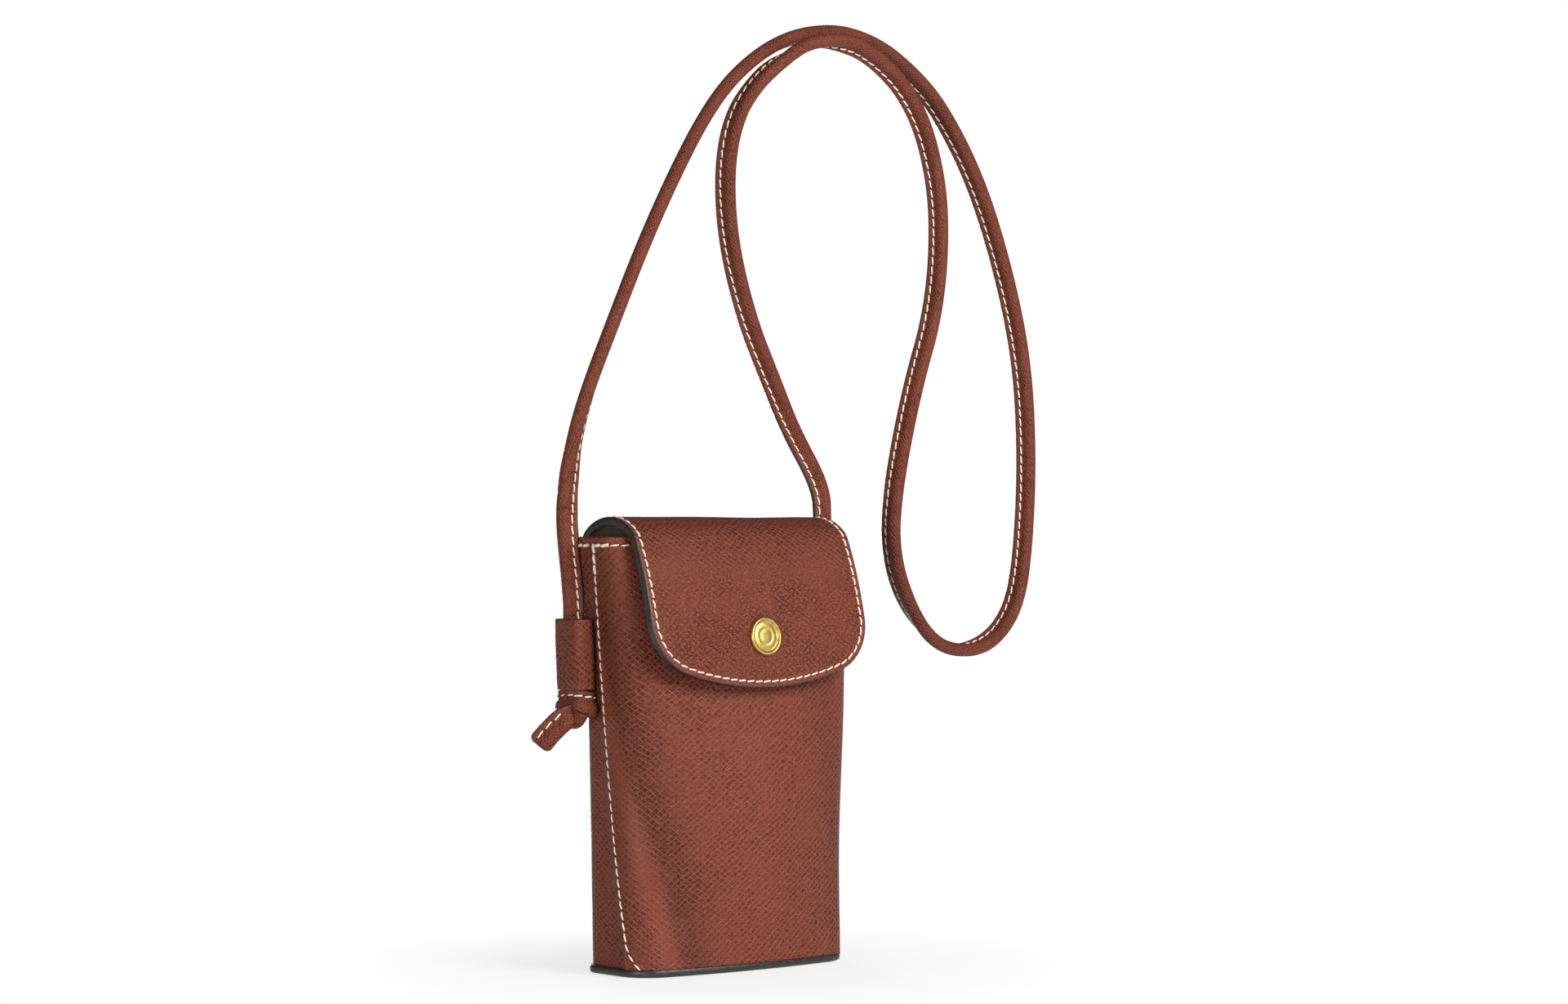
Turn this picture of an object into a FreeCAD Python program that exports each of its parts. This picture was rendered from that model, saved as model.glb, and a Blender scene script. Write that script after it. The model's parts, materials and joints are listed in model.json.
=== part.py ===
import FreeCAD, Part
import math
import os

os.makedirs("parts", exist_ok=True)

Vector = FreeCAD.Vector

# All sizes are in millimetres and degrees. They are set out about the middle of the
# pouch's underside, with the front at -Y. Every solid is moved to the hanging point last.

# Layers of the walls, from the outside in.
panel_leather = 1.4
inner_layer = 1.4
lining_cloth = 0.8
lap_width = 7.0
layer_gap = 0.15

# Underside.
sole_thickness = 3.0
sole_inset = 0.3
board_thickness = 2.0
floor_lining = 0.6

# Wall outline at the base, the belly, the chest and the mouth: the height, or for the chest the
# drop from the mouth, the half width, the depth to the front corners, the front's bulge, the
# depth to the back, the corner radii.
base_half_width = 54.5
base_front = 20.0
base_bulge = 3.0
base_back = 18.5
base_front_corner = 15.0
base_back_corner = 8.0
belly_height = 70.0
belly_half_width = 55.5
belly_front = 20.0
belly_bulge = 4.0
belly_back = 19.0
belly_front_corner = 16.0
belly_back_corner = 8.0
chest_drop = 40.3
chest_half_width = 58.0
chest_front = 17.2
chest_bulge = 4.0
chest_back = 18.5
chest_front_corner = 13.0
chest_back_corner = 8.0
mouth_height = 170.3
mouth_half_width = 61.0
mouth_front = 9.4
mouth_bulge = 1.5
mouth_back = 17.5
mouth_front_corner = 9.0
mouth_back_corner = 7.0

# Side seam, where the front panel laps over the back panel: three points of its arc.
seam_base_y = -9.0
seam_middle_y = 3.0
seam_middle_height = 90.0
seam_mouth_y = 5.0

# Flap. Its profile starts at the hinge and runs over the mouth and down the front, and is
# trimmed to the flap's plan.
flap_leather = 1.5
flap_lining = 1.1
flap_half_width = 54.3
flap_bottom = 111.2
flap_hinge_gap = 0.4
flap_overhang = 5.3
flap_start_heading = 46.0
crown_end_heading = -38.0
shoulder_radius = 10.0
shoulder_end_heading = -64.0
front_end_heading = -90.0
flap_corner_radius = 22.0
flap_bottom_radius = 130.0
flap_trim = 3.0
yoke_height = 24.0

# Press stud, above the flap's lowest edge. The shares are of the distance from the front
# panel's face to the flap.
snap_rise = 18.9
slope_probe = 4.0
stud_flange_radius = 5.2
stud_flange = 0.6
stud_sink = 0.3
stud_neck_radius = 1.9
stud_neck_share = 0.5
stud_head_radius = 2.4
stud_head_share = 0.7
stud_post_radius = 1.6
eyelet_radius = 5.0
eyelet_thickness = 0.6
socket_radius = 5.8
socket_bore = 4.6
socket_rim_share = 0.3
socket_flange_radius = 6.3
socket_flange = 0.8
socket_sink = 0.2
spring_wire = 0.35
spring_gap = 0.15
spring_length = 7.2
cap_radius = 7.5
cap_face_radius = 6.2
cap_rim = 0.7
cap_height = 1.9
cap_sink = 0.35
cap_post_radius = 1.4
fit_gap = 0.05

# Keepers on the sides and the lace in them.
keeper_low = 110.5
keeper_high = 138.3
keeper_depth = 9.4
keeper_width = 16.5
keeper_wall = 1.4
keeper_radius = 3.0
keeper_y = 13.4
keeper_gap = 0.2
lace_diameter = 7.0
lace_flat_depth = 5.6
lace_flat_width = 9.6
lace_gap = 0.1
knot_low = 97.6
knot_high = 109.6
knot_depth = 9.4
knot_width = 16.8
knot_radius = 4.2
knot_edge = 2.4
tail_start_height = 102.5
tail_out = 13.5
tail_back = 4.5
tail_drop = 13.0
lead_rise = 8.0
lead_run = 14.0
end_gap = 0.05

# Centre of the lace's free stretch, from the top of the left lead to the right one.
lace_route = [
    (-63.3, 17.3, 181.5),
    (-60.9, 17.4, 200.8),
    (-58.8, 10.8, 224.2),
    (-50.9, 4.5, 255.2),
    (-31.5, 9.2, 287.1),
    (-10.6, 15.7, 317.2),
    (11.1, 22.9, 343.2),
    (29.0, 27.7, 361.5),
    (52.7, 31.9, 376.9),
    (73.9, 34.5, 384.6),
    (96.7, 36.2, 387.6),
    (118.0, 36.7, 383.9),
    (136.9, 36.5, 373.9),
    (152.9, 36.0, 360.3),
    (173.3, 34.8, 330.6),
    (189.9, 33.6, 291.0),
    (200.8, 32.4, 249.0),
    (202.7, 31.2, 205.0),
    (199.2, 30.1, 164.6),
    (194.5, 29.3, 140.2),
    (182.4, 28.7, 126.1),
    (167.0, 28.4, 120.0),
    (149.8, 28.1, 121.9),
    (133.2, 27.9, 133.8),
    (120.4, 27.7, 157.9),
    (116.6, 27.4, 185.0),
    (127.1, 26.9, 232.3),
    (141.2, 27.0, 270.2),
    (146.7, 26.6, 312.6),
    (138.9, 26.6, 343.1),
    (127.0, 26.3, 362.7),
    (110.6, 26.3, 375.2),
    (91.7, 26.3, 380.6),
    (71.9, 27.0, 378.6),
    (56.4, 28.9, 371.0),
    (44.7, 31.8, 360.4),
    (36.8, 35.9, 345.2),
    (35.8, 40.9, 323.5),
    (42.3, 46.7, 294.5),
    (55.0, 49.7, 262.4),
    (63.4, 45.0, 237.7),
    (60.7, 31.1, 214.8),
    (65.2, 17.2, 191.1),
    (65.6, 14.6, 176.6),
]
bend_share = 0.45

# The peg that the lace hangs on passes under the lace here.
hang_point = (82.0, 26.6, 375.9)

# Room taken by cutting blocks.
reach = 120.0


def line(start, end):
    return Part.makeLine(start, end)


def arc(start, middle, end):
    return Part.Arc(start, middle, end).toShape()


def prism(edges, along):
    return Part.Face(Part.Wire(edges)).extrude(along)


base_outline = (sole_thickness, base_half_width, base_front, base_bulge, base_back,
                base_front_corner, base_back_corner)
belly_outline = (belly_height, belly_half_width, belly_front, belly_bulge, belly_back,
                 belly_front_corner, belly_back_corner)
chest_outline = (mouth_height - chest_drop, chest_half_width, chest_front, chest_bulge, chest_back,
                 chest_front_corner, chest_back_corner)
mouth_outline = (mouth_height, mouth_half_width, mouth_front, mouth_bulge, mouth_back,
                 mouth_front_corner, mouth_back_corner)


def outline_wire(outline, inset, height=None):
    """Rounded outline of the walls, drawn in by inset."""
    level, half_width, front, bulge, back, front_corner, back_corner = outline
    z = level if height is None else height
    side = half_width - inset
    near = front - inset
    far = back - inset
    near_radius = front_corner - inset
    far_radius = back_corner - inset
    near_x = side - near_radius
    near_y = near_radius - near
    far_x = side - far_radius
    far_y = far - far_radius
    near_slant = near_radius * math.sqrt(0.5)
    far_slant = far_radius * math.sqrt(0.5)

    def at(x, y):
        return Vector(x, y, z)

    edges = [
        arc(at(-near_x, -near), at(0, -near - bulge), at(near_x, -near)),
        arc(at(near_x, -near), at(near_x + near_slant, near_y - near_slant), at(side, near_y)),
        line(at(side, near_y), at(side, far_y)),
        arc(at(side, far_y), at(far_x + far_slant, far_y + far_slant), at(far_x, far)),
        line(at(far_x, far), at(-far_x, far)),
        arc(at(-far_x, far), at(-far_x - far_slant, far_y + far_slant), at(-side, far_y)),
        line(at(-side, far_y), at(-side, near_y)),
        arc(at(-side, near_y), at(-near_x - near_slant, near_y - near_slant), at(-near_x, -near)),
    ]
    return Part.Wire(edges)


def wall_block(inset):
    """Everything inside the walls' outline, drawn in by inset."""
    outlines = (base_outline, belly_outline, chest_outline, mouth_outline)
    return Part.makeLoft([outline_wire(outline, inset) for outline in outlines], True, False)


def slab(outline, inset, low, high):
    return Part.Face(outline_wire(outline, inset, low)).extrude(Vector(0, 0, high - low))


def seam_block(shift):
    """Everything in front of the side seam, with the seam moved along Y by shift."""
    low = Vector(-reach, seam_base_y + shift, 0)
    middle = Vector(-reach, seam_middle_y + shift, seam_middle_height)
    high = Vector(-reach, seam_mouth_y + shift, mouth_height)
    front_high = Vector(-reach, -reach, mouth_height)
    front_low = Vector(-reach, -reach, 0)
    edges = [arc(low, middle, high), line(high, front_high)]
    edges += [line(front_high, front_low), line(front_low, low)]
    return prism(edges, Vector(2 * reach, 0, 0))


def box(x_low, x_high, y_low, y_high, z_low, z_high):
    return Part.makeBox(x_high - x_low, y_high - y_low, z_high - z_low, Vector(x_low, y_low, z_low))


def front_hit(shape, z):
    """Y of the first point of shape that is met from the front on the middle line."""
    return shape.common(line(Vector(0, -reach, z), Vector(0, 0, z))).BoundBox.YMin


def side_hit(shape, y, z):
    """X of the first point of shape that is met from the left."""
    return shape.common(line(Vector(-reach, y, z), Vector(0, y, z))).BoundBox.XMin


def first_solid(shape):
    return max(shape.Solids, key=lambda solid: solid.Volume)


# Walls: two leather panels, the front one's stiffener and the lining.
outer = wall_block(0)
under_panel = wall_block(panel_leather)
under_inner = wall_block(panel_leather + inner_layer)
pocket = wall_block(panel_leather + inner_layer + lining_cloth)
outer_shell = outer.cut(under_panel)
inner_shell = under_panel.cut(under_inner)
lining_shell = under_inner.cut(pocket)

front_panel = first_solid(outer_shell.common(seam_block(0)))
back_panel = first_solid(inner_shell.cut(seam_block(-lap_width)))
front_stiffener = first_solid(inner_shell.common(seam_block(-lap_width - layer_gap)))
floor_top = sole_thickness + board_thickness
lining_room = box(-reach, reach, -reach, 0, floor_top, mouth_height)
front_lining = first_solid(lining_shell.common(lining_room))
lining_room = box(-reach, reach, layer_gap, reach, floor_top, mouth_height)
back_lining = first_solid(lining_shell.common(lining_room))

# Underside: the sole, a board on it between the walls, and the floor's lining.
base_sole = slab(base_outline, sole_inset, 0, sole_thickness)
board_inset = panel_leather + inner_layer + layer_gap
base_board = slab(base_outline, board_inset, sole_thickness, floor_top)
floor_inset = panel_leather + inner_layer + lining_cloth + layer_gap
base_lining = slab(base_outline, floor_inset, floor_top, floor_top + floor_lining)

# Flap: leather and lining share one profile of tangent arcs.
flap_thickness = flap_leather + flap_lining
hinge_height = mouth_height + flap_hinge_gap
hinge_y = mouth_back - panel_leather + flap_thickness


def crown_radius():
    """Radius that carries the flap from its hinge to its overhang in front of the mouth."""
    start, top, end = [math.sin(math.radians(heading)) for heading in
                       (flap_start_heading, crown_end_heading, shoulder_end_heading)]
    span = hinge_y + mouth_front + mouth_bulge + flap_overhang
    return (span - shoulder_radius * (top - end)) / (start - top)


def flap_arcs(inset):
    """Corner points and edges of the flap's profile, drawn in by inset, at the flap's left side."""
    forward = -hinge_y
    height = hinge_height
    heading = math.radians(flap_start_heading)
    points = []
    edges = []
    radii = (crown_radius(), shoulder_radius, None)
    headings = (crown_end_heading, shoulder_end_heading, front_end_heading)
    for radius, end_heading in zip(radii, headings):
        end = math.radians(end_heading)
        if radius is None:
            radius = (height - flap_bottom + flap_trim) / (math.cos(heading) - math.cos(end))
        centre_forward = forward + radius * math.sin(heading)
        centre_height = height - radius * math.cos(heading)
        drawn = radius - inset
        three = []
        for angle in (heading, (heading + end) / 2, end):
            across = centre_forward - drawn * math.sin(angle)
            three.append(Vector(-flap_half_width, -across, centre_height + drawn * math.cos(angle)))
        edges.append(arc(*three))
        points.append(three[0])
        points.append(three[2])
        forward = centre_forward - radius * math.sin(end)
        height = centre_height + radius * math.cos(end)
        heading = end
    return points, edges


def flap_plan():
    """Front view of the flap: straight sides, rounded corners and a bowed lower edge."""
    corner_x = flap_half_width - flap_corner_radius
    bow_height = flap_bottom + flap_bottom_radius
    between = flap_bottom_radius - flap_corner_radius
    corner_z = bow_height - math.sqrt(between ** 2 - corner_x ** 2)
    lean = math.atan2(bow_height - corner_z, corner_x)
    meet_x = math.cos(lean) * flap_bottom_radius
    meet = Vector(meet_x, -reach, bow_height - math.sin(lean) * flap_bottom_radius)
    half = lean / 2
    round_x = corner_x + math.cos(half) * flap_corner_radius
    round_z = corner_z - math.sin(half) * flap_corner_radius
    side = Vector(flap_half_width, -reach, corner_z)
    top = Vector(flap_half_width, -reach, hinge_height + reach)

    def mirrored(point):
        return Vector(-point.x, point.y, point.z)

    rounded = Vector(round_x, -reach, round_z)
    edges = [
        line(top, side),
        arc(side, rounded, meet),
        arc(meet, Vector(0, -reach, flap_bottom), mirrored(meet)),
        arc(mirrored(meet), mirrored(rounded), mirrored(side)),
        line(mirrored(side), mirrored(top)),
        line(mirrored(top), top),
    ]
    return prism(edges, Vector(0, 2 * reach, 0))


def flap_layer(near, far, plan):
    near_points, near_edges = flap_arcs(near)
    far_points, far_edges = flap_arcs(far)
    edges = near_edges + [line(near_points[-1], far_points[-1])] + far_edges[::-1]
    edges.append(line(far_points[0], near_points[0]))
    layer = prism(edges, Vector(2 * flap_half_width, 0, 0)).common(plan)
    behind = box(-reach, reach, 0, reach, 0, hinge_height)
    return first_solid(layer.cut(behind))


plan = flap_plan()
flap_outer = flap_layer(0, flap_leather, plan)
flap_inner = flap_layer(flap_leather, flap_thickness, plan)

# The part of the flap that is sewn down on the back of the pouch.
yoke_shell = wall_block(panel_leather - flap_thickness).cut(under_panel)
back_corner_y = mouth_back - mouth_back_corner
yoke_low = mouth_height - yoke_height
yoke_room = box(-flap_half_width, flap_half_width, back_corner_y, reach, yoke_low, mouth_height)
flap_yoke = first_solid(yoke_shell.common(yoke_room))

# Press stud: its axis stands square on the front panel.
snap_height = flap_bottom + snap_rise
seat = Vector(0, front_hit(outer, snap_height), snap_height)
rise = front_hit(outer, snap_height + slope_probe) - front_hit(outer, snap_height - slope_probe)
snap_axis = Vector(0, -2 * slope_probe, rise).normalize()


def along_axis(height):
    return seat + snap_axis * height


def turned(points):
    """Solid of revolution about the press stud's axis from (radius, height) corners."""
    corners = [Vector(radius, 0, height) for radius, height in points]
    profile = Part.Face(Part.makePolygon(corners + corners[:1]))
    solid = profile.revolve(Vector(0, 0, 0), Vector(0, 0, 1), 360)
    solid.Placement = FreeCAD.Placement(seat, FreeCAD.Rotation(Vector(0, 0, 1), snap_axis))
    return solid


def disc(radius, low, high):
    return Part.makeCylinder(radius, high - low, along_axis(low), snap_axis)


probe = line(along_axis(0), along_axis(reach))
flap_face = min((v.Point - seat).dot(snap_axis) for v in flap_inner.common(probe).Vertexes)
cap_seat = max((v.Point - seat).dot(snap_axis) for v in flap_outer.common(probe).Vertexes)
wall_depth = panel_leather + inner_layer
stud_neck_top = stud_neck_share * flap_face
stud_head_top = stud_head_share * flap_face
socket_rim = socket_rim_share * flap_face
spring_height = stud_neck_top - spring_wire - spring_gap
spring_offset = stud_neck_radius + spring_wire + spring_gap

snap_stud = turned([
    (0, -wall_depth),
    (stud_post_radius, -wall_depth),
    (stud_post_radius, -stud_sink),
    (stud_flange_radius, -stud_sink),
    (stud_flange_radius, stud_flange),
    (stud_neck_radius, stud_flange),
    (stud_neck_radius, stud_neck_top),
    (stud_head_radius, stud_neck_top),
    (stud_head_radius, stud_head_top),
    (0, stud_head_top),
])
eyelet_low = -wall_depth
snap_eyelet = disc(eyelet_radius, eyelet_low, eyelet_low + eyelet_thickness)
snap_eyelet = snap_eyelet.cut(disc(stud_post_radius + fit_gap, -reach, reach))
front_panel = front_panel.cut(disc(stud_flange_radius + fit_gap, -stud_sink, reach))
front_panel = first_solid(front_panel.cut(disc(stud_post_radius + fit_gap, -wall_depth, reach)))
eyelet_high = eyelet_low + eyelet_thickness
front_stiffener = front_stiffener.cut(disc(stud_post_radius + fit_gap, -2 * wall_depth, reach))
front_stiffener = front_stiffener.cut(disc(eyelet_radius + fit_gap, -2 * wall_depth, eyelet_high))
front_stiffener = first_solid(front_stiffener)
front_lining = first_solid(front_lining.cut(disc(eyelet_radius + fit_gap, eyelet_low, reach)))

flange_top = flap_face + socket_sink
flange_low = flange_top - socket_flange
snap_socket = turned([
    (cap_post_radius + fit_gap, flange_low),
    (socket_bore, flange_low),
    (socket_bore, socket_rim),
    (socket_radius, socket_rim),
    (socket_radius, flange_low),
    (socket_flange_radius, flange_low),
    (socket_flange_radius, flange_top),
    (cap_post_radius + fit_gap, flange_top),
])
wires = []
for side in (-1, 1):
    middle = along_axis(spring_height) + Vector(side * spring_offset, 0, 0)
    up = snap_axis.cross(Vector(1, 0, 0))
    wires.append(Part.makeCylinder(spring_wire, spring_length, middle - up * (spring_length / 2), up))
snap_spring = Part.makeCompound(wires)
cap_low = cap_seat - cap_sink
snap_cap = turned([
    (0, flange_low),
    (cap_post_radius, flange_low),
    (cap_post_radius, cap_low),
    (cap_radius, cap_low),
    (cap_radius, cap_seat + cap_rim),
    (cap_face_radius, cap_seat + cap_height),
    (0, cap_seat + cap_height),
])
post_hole = disc(cap_post_radius + fit_gap, 0, reach)
flap_inner = flap_inner.cut(disc(socket_flange_radius + fit_gap, 0, flange_top))
flap_inner = first_solid(flap_inner.cut(post_hole))
flap_outer = flap_outer.cut(disc(cap_radius + fit_gap, cap_low, cap_low + reach))
flap_outer = first_solid(flap_outer.cut(post_hole))


# Keepers, the knots under them and the lace.
def rounded_block(x, y, depth, width, radius, low, high):
    """Upright block with rounded corners about x, y."""
    block = box(x - depth / 2, x + depth / 2, y - width / 2, y + width / 2, low, high)
    upright = [e for e in block.Edges if abs(e.Vertexes[0].Z - e.Vertexes[1].Z) > layer_gap]
    return block.makeFillet(radius, upright)


def tube(points):
    """Round lace along straight runs joined by tangent arcs."""
    corners = [Vector(*p) for p in points]
    edges = []
    radii = []
    start = corners[0]
    for before, corner, after in zip(corners, corners[1:], corners[2:]):
        back = before - corner
        ahead = after - corner
        cut = bend_share * min(back.Length, ahead.Length)
        back.normalize()
        ahead.normalize()
        half_turn = (math.pi - back.getAngle(ahead)) / 2
        radius = cut / math.tan(half_turn)
        leave = corner + back * cut
        arrive = corner + ahead * cut
        inward = (back + ahead).normalize()
        top = corner + inward * (radius / math.cos(half_turn) - radius)
        edges.append(line(start, leave))
        edges.append(arc(leave, top, arrive))
        radii.append(radius)
        start = arrive
    edges.append(line(start, corners[-1]))
    path = Part.Wire(edges)
    ring = Part.Wire(Part.makeCircle(lace_diameter / 2, corners[0], corners[1] - corners[0]))
    solid = path.makePipeShell([ring], True, False)
    plain_volume = math.pi * lace_diameter ** 2 / 4 * path.Length
    print("tube of length", round(path.Length, 1), "smallest radius", round(min(radii), 2),
          "volume ratio", round(solid.Volume / plain_volume, 4))
    return solid


keeper_x = side_hit(under_panel, back_corner_y, keeper_high) - keeper_gap - keeper_depth / 2


def keeper(side):
    """Leather sleeve on the side of the pouch, open above and below."""
    rings = []
    for wall in (0, keeper_wall):
        depth = keeper_depth - 2 * wall
        width = keeper_width - 2 * wall
        radius = keeper_radius - wall
        rings.append(rounded_block(keeper_x, keeper_y, depth, width, radius, keeper_low, keeper_high))
    ring = rings[0].cut(rings[1])
    return ring if side < 0 else ring.mirror(Vector(0, 0, 0), Vector(1, 0, 0))


def knot(side):
    """The lace's end: the stretch in the keeper, the knot under it and the cut tail."""
    flat_radius = lace_flat_depth / 2 - lace_gap
    stretch = rounded_block(keeper_x, keeper_y, lace_flat_depth, lace_flat_width, flat_radius,
                            knot_low + knot_edge, keeper_high)
    bulk = rounded_block(keeper_x, keeper_y, knot_depth, knot_width, knot_radius, knot_low, knot_high)
    bulk = bulk.makeFillet(knot_edge, [e for e in bulk.Edges if abs(e.BoundBox.ZLength) < layer_gap])
    start = Vector(keeper_x, keeper_y, tail_start_height)
    way = Vector(-tail_out, tail_back, -tail_drop)
    tail = Part.makeCylinder(lace_diameter / 2, way.Length, start, way)
    solid = first_solid(stretch.fuse(bulk).fuse(tail).removeSplitter())
    return solid if side < 0 else solid.mirror(Vector(0, 0, 0), Vector(1, 0, 0))


def lead(end, inner):
    """The short bending stretch of lace between a keeper and the free stretch."""
    top = Vector(*end)
    way = (top - Vector(*inner)).normalize()
    side = 1 if top.x > 0 else -1
    start = Vector(-side * keeper_x, keeper_y, keeper_high + end_gap)
    top = top + way * end_gap
    points = [start, start + Vector(0, 0, lead_rise), top + way * lead_run, top]
    return tube([tuple(point) for point in points])


strap_lace = tube(lace_route)

parts = {
    "front_panel": front_panel,
    "back_panel": back_panel,
    "front_stiffener": front_stiffener,
    "front_lining": front_lining,
    "back_lining": back_lining,
    "base_sole": base_sole,
    "base_board": base_board,
    "base_lining": base_lining,
    "flap_yoke": flap_yoke,
    "flap_leather": flap_outer,
    "flap_lining": flap_inner,
    "snap_stud": snap_stud,
    "snap_eyelet": snap_eyelet,
    "snap_socket": snap_socket,
    "snap_spring": snap_spring,
    "snap_cap": snap_cap,
    "keeper_left": keeper(-1),
    "keeper_right": keeper(1),
    "lace_knot_left": knot(-1),
    "lace_knot_right": knot(1),
    "lace_lead_left": lead(lace_route[0], lace_route[1]),
    "lace_lead_right": lead(lace_route[-1], lace_route[-2]),
    "strap_lace": strap_lace,
}

to_hanging_point = Vector(*hang_point).negative()
for name, shape in parts.items():
    placed = shape.copy()
    placed.translate(to_hanging_point)
    placed.exportStep("parts/" + name + ".step")
    print(name, "valid", placed.isValid(), "solids", len(placed.Solids), "volume", round(placed.Volume, 1))
print("flap hinge at y", round(hinge_y, 3), "z", round(hinge_height, 3), "before the move")
print("press stud at", seat, "along", snap_axis)
print("from the stud's seat to the flap", round(flap_face, 3), "and to the cap", round(cap_seat, 3))
print("keepers at x", round(keeper_x, 3), "before the move")
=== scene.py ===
import json
import math

import bmesh
import bpy
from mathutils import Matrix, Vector, noise


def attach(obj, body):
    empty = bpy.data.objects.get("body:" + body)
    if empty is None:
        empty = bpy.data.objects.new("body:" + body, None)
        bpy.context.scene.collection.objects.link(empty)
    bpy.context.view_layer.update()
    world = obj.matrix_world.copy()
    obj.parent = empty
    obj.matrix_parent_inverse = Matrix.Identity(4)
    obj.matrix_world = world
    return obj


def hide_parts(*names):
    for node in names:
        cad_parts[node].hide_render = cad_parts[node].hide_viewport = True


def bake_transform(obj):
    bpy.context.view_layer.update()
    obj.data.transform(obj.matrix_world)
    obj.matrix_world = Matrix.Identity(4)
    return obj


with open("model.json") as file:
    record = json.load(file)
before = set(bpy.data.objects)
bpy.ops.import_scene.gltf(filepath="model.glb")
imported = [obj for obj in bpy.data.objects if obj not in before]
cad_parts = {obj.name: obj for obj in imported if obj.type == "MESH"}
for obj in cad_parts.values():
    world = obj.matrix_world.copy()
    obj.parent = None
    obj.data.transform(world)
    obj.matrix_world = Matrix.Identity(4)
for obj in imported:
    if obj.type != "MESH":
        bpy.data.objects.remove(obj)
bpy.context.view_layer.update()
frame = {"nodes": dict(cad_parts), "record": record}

# Front panel. One piece of thick brown hide with a stamped cross-hatch grain makes the front and
# laps round both sides to the seams. It is sewn to the back panel there, and its cut edges are
# painted black.
foot = Vector(next(m["pos_m"] for m in frame["record"]["mounts"] if m["name"] == "base_rest"))
hide_thickness = 0.0014
sole_top = 0.0030
waist_height = 0.0900
mouth_height = 0.1703
# From the sole to the mouth: height, half width, depth to the front corners, bulge of the front,
# depth to the back, radius of the front and of the back corners.
wall_outlines = [
    (sole_top, 0.0545, 0.0200, 0.0030, 0.0185, 0.0150, 0.0080),
    (0.0700, 0.0555, 0.0200, 0.0040, 0.0190, 0.0160, 0.0080),
    (0.1300, 0.0580, 0.0172, 0.0040, 0.0185, 0.0130, 0.0080),
    (mouth_height, 0.0610, 0.0094, 0.0015, 0.0175, 0.0090, 0.0070),
]
seam_heights = (0.0, waist_height, mouth_height)
seam_depths = (-0.0090, 0.0030, 0.0050)
stitch_margin = 0.0025
groove_depth = 0.00022
groove_width = 0.0008
# Distances from a cut edge at which a sheet's mesh has its rows, and the step further in.
edge_stations = (0.0, 0.0001, 0.00025, 0.0005, 0.0010, 0.0016, 0.0021, 0.0026, 0.0031, 0.0040, 0.0058,
                 0.0080)
sole_stations = (0.0, 0.0008, 0.0020, 0.0040)
grid_step = 0.0022
edge_rounding = 0.0005
# Widths of black edge paint on the face at the seams and at the mouth. At the seams it is widened to stand
# also as painted shade where the panels meet.
seam_paint_and_shade_lip = 0.0011
mouth_lip = 0.0005
fill_reach = 0.0060
rub_reach = 0.0040
hide_wave = 0.0005
wall_waves = (26, 19, 4.0)
wave_hold = 0.012
swell_reach = 0.030
hide_cell = 0.0020
grain_relief = 0.00055
hide_rough = 0.52
hide_shine = 0.20
# What rubbing adds to colour, roughness and grain, the grain's ridges to roughness, and wear in patches.
rub_colour = 0.50
rub_rough = -0.10
rub_grain = -0.8
ridge_rough = -0.12
patch_wear = 0.12
# How far the flap's grain is cut in, and the painted shade on its crown and yoke where the grain stays
# raised.
cut_share = 0.85
crown_painted_shade = -0.14
# Colours of the grain's hollows and ridges and of worn places.
hide_shades = ((0.056, 0.0092, 0.0032, 1), (0.268, 0.067, 0.036, 1), (0.150, 0.034, 0.018, 1))
paint_shades = ((0.012, 0.009, 0.009, 1), (0.026, 0.020, 0.019, 1))
raw_shades = ((0.075, 0.040, 0.026, 1), (0.14, 0.085, 0.058, 1))
# Bands on the front, mostly painted light: a painted highlight, also rubbed smooth, low along the left
# front corner; painted shade beside it and on the right; a faint painted sheen, a little rubbed, on the
# belly. Each: side, run from the middle at the foot, lean, half width, how much painted light (below 0,
# painted shade), how much rubbed.
painted_light_and_wear_bands = [
    (-1, 0.0385, 0.295, 0.0070, 0.26, 0.9),
    (-1, 0.0270, 0.295, 0.0180, -0.20, 0.0),
    (1, 0.0550, -0.180, 0.0160, -0.12, 0.0),
    (1, 0.0, 0.0, 0.0400, 0.06, 0.2),
]


def through(places, values, place):
    """Value at a place on the smooth curve through a few given ones."""
    total = 0.0
    for here, value in zip(places, values):
        total += value * math.prod((place - other) / (here - other) for other in places if other != here)
    return total


def walk(place, heading, legs, run):
    """Place and heading at a run along bends and straight legs, given as lengths with radii."""
    x, y = place
    for length, radius in legs:
        step = min(run, length)
        run -= step
        if radius:
            x, y = x - radius * math.sin(heading), y + radius * math.cos(heading)
            heading += step / radius
            x, y = x + radius * math.sin(heading), y - radius * math.cos(heading)
        else:
            x, y = x + step * math.cos(heading), y + step * math.sin(heading)
    return x, y, heading


def wall_legs(height):
    """Start and legs of half the wall's outline at a height, from the front's middle to the back's."""
    heights, *sizes = zip(*wall_outlines)
    half, front, bulge, back, near, far = (through(heights, size, height) for size in sizes)
    turn = 2 * math.atan(bulge / (half - near))
    radius = (half - near) / math.sin(turn) + near
    return (0.0, -front - bulge), [
        (radius * turn, radius), (near * (math.pi / 2 - turn), near), (back - far - near + front, None),
        (far * math.pi / 2, far), (half - far, None)]


def full_run(legs):
    return sum(length for length, radius in legs)


def wall_at(height, run, depth=0.0):
    """Point on the wall and the way it faces, by the run round its outline from the front's middle."""
    start, legs = wall_legs(height)
    if abs(run) > full_run(legs):
        run -= math.copysign(2 * full_run(legs), run)
    x, y, heading = walk(start, 0.0, legs, abs(run))
    side = math.copysign(1, run)
    facing = Vector((side * math.sin(heading), -math.cos(heading), 0))
    return Vector((side * x, y, height)) - depth * facing, facing


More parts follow.
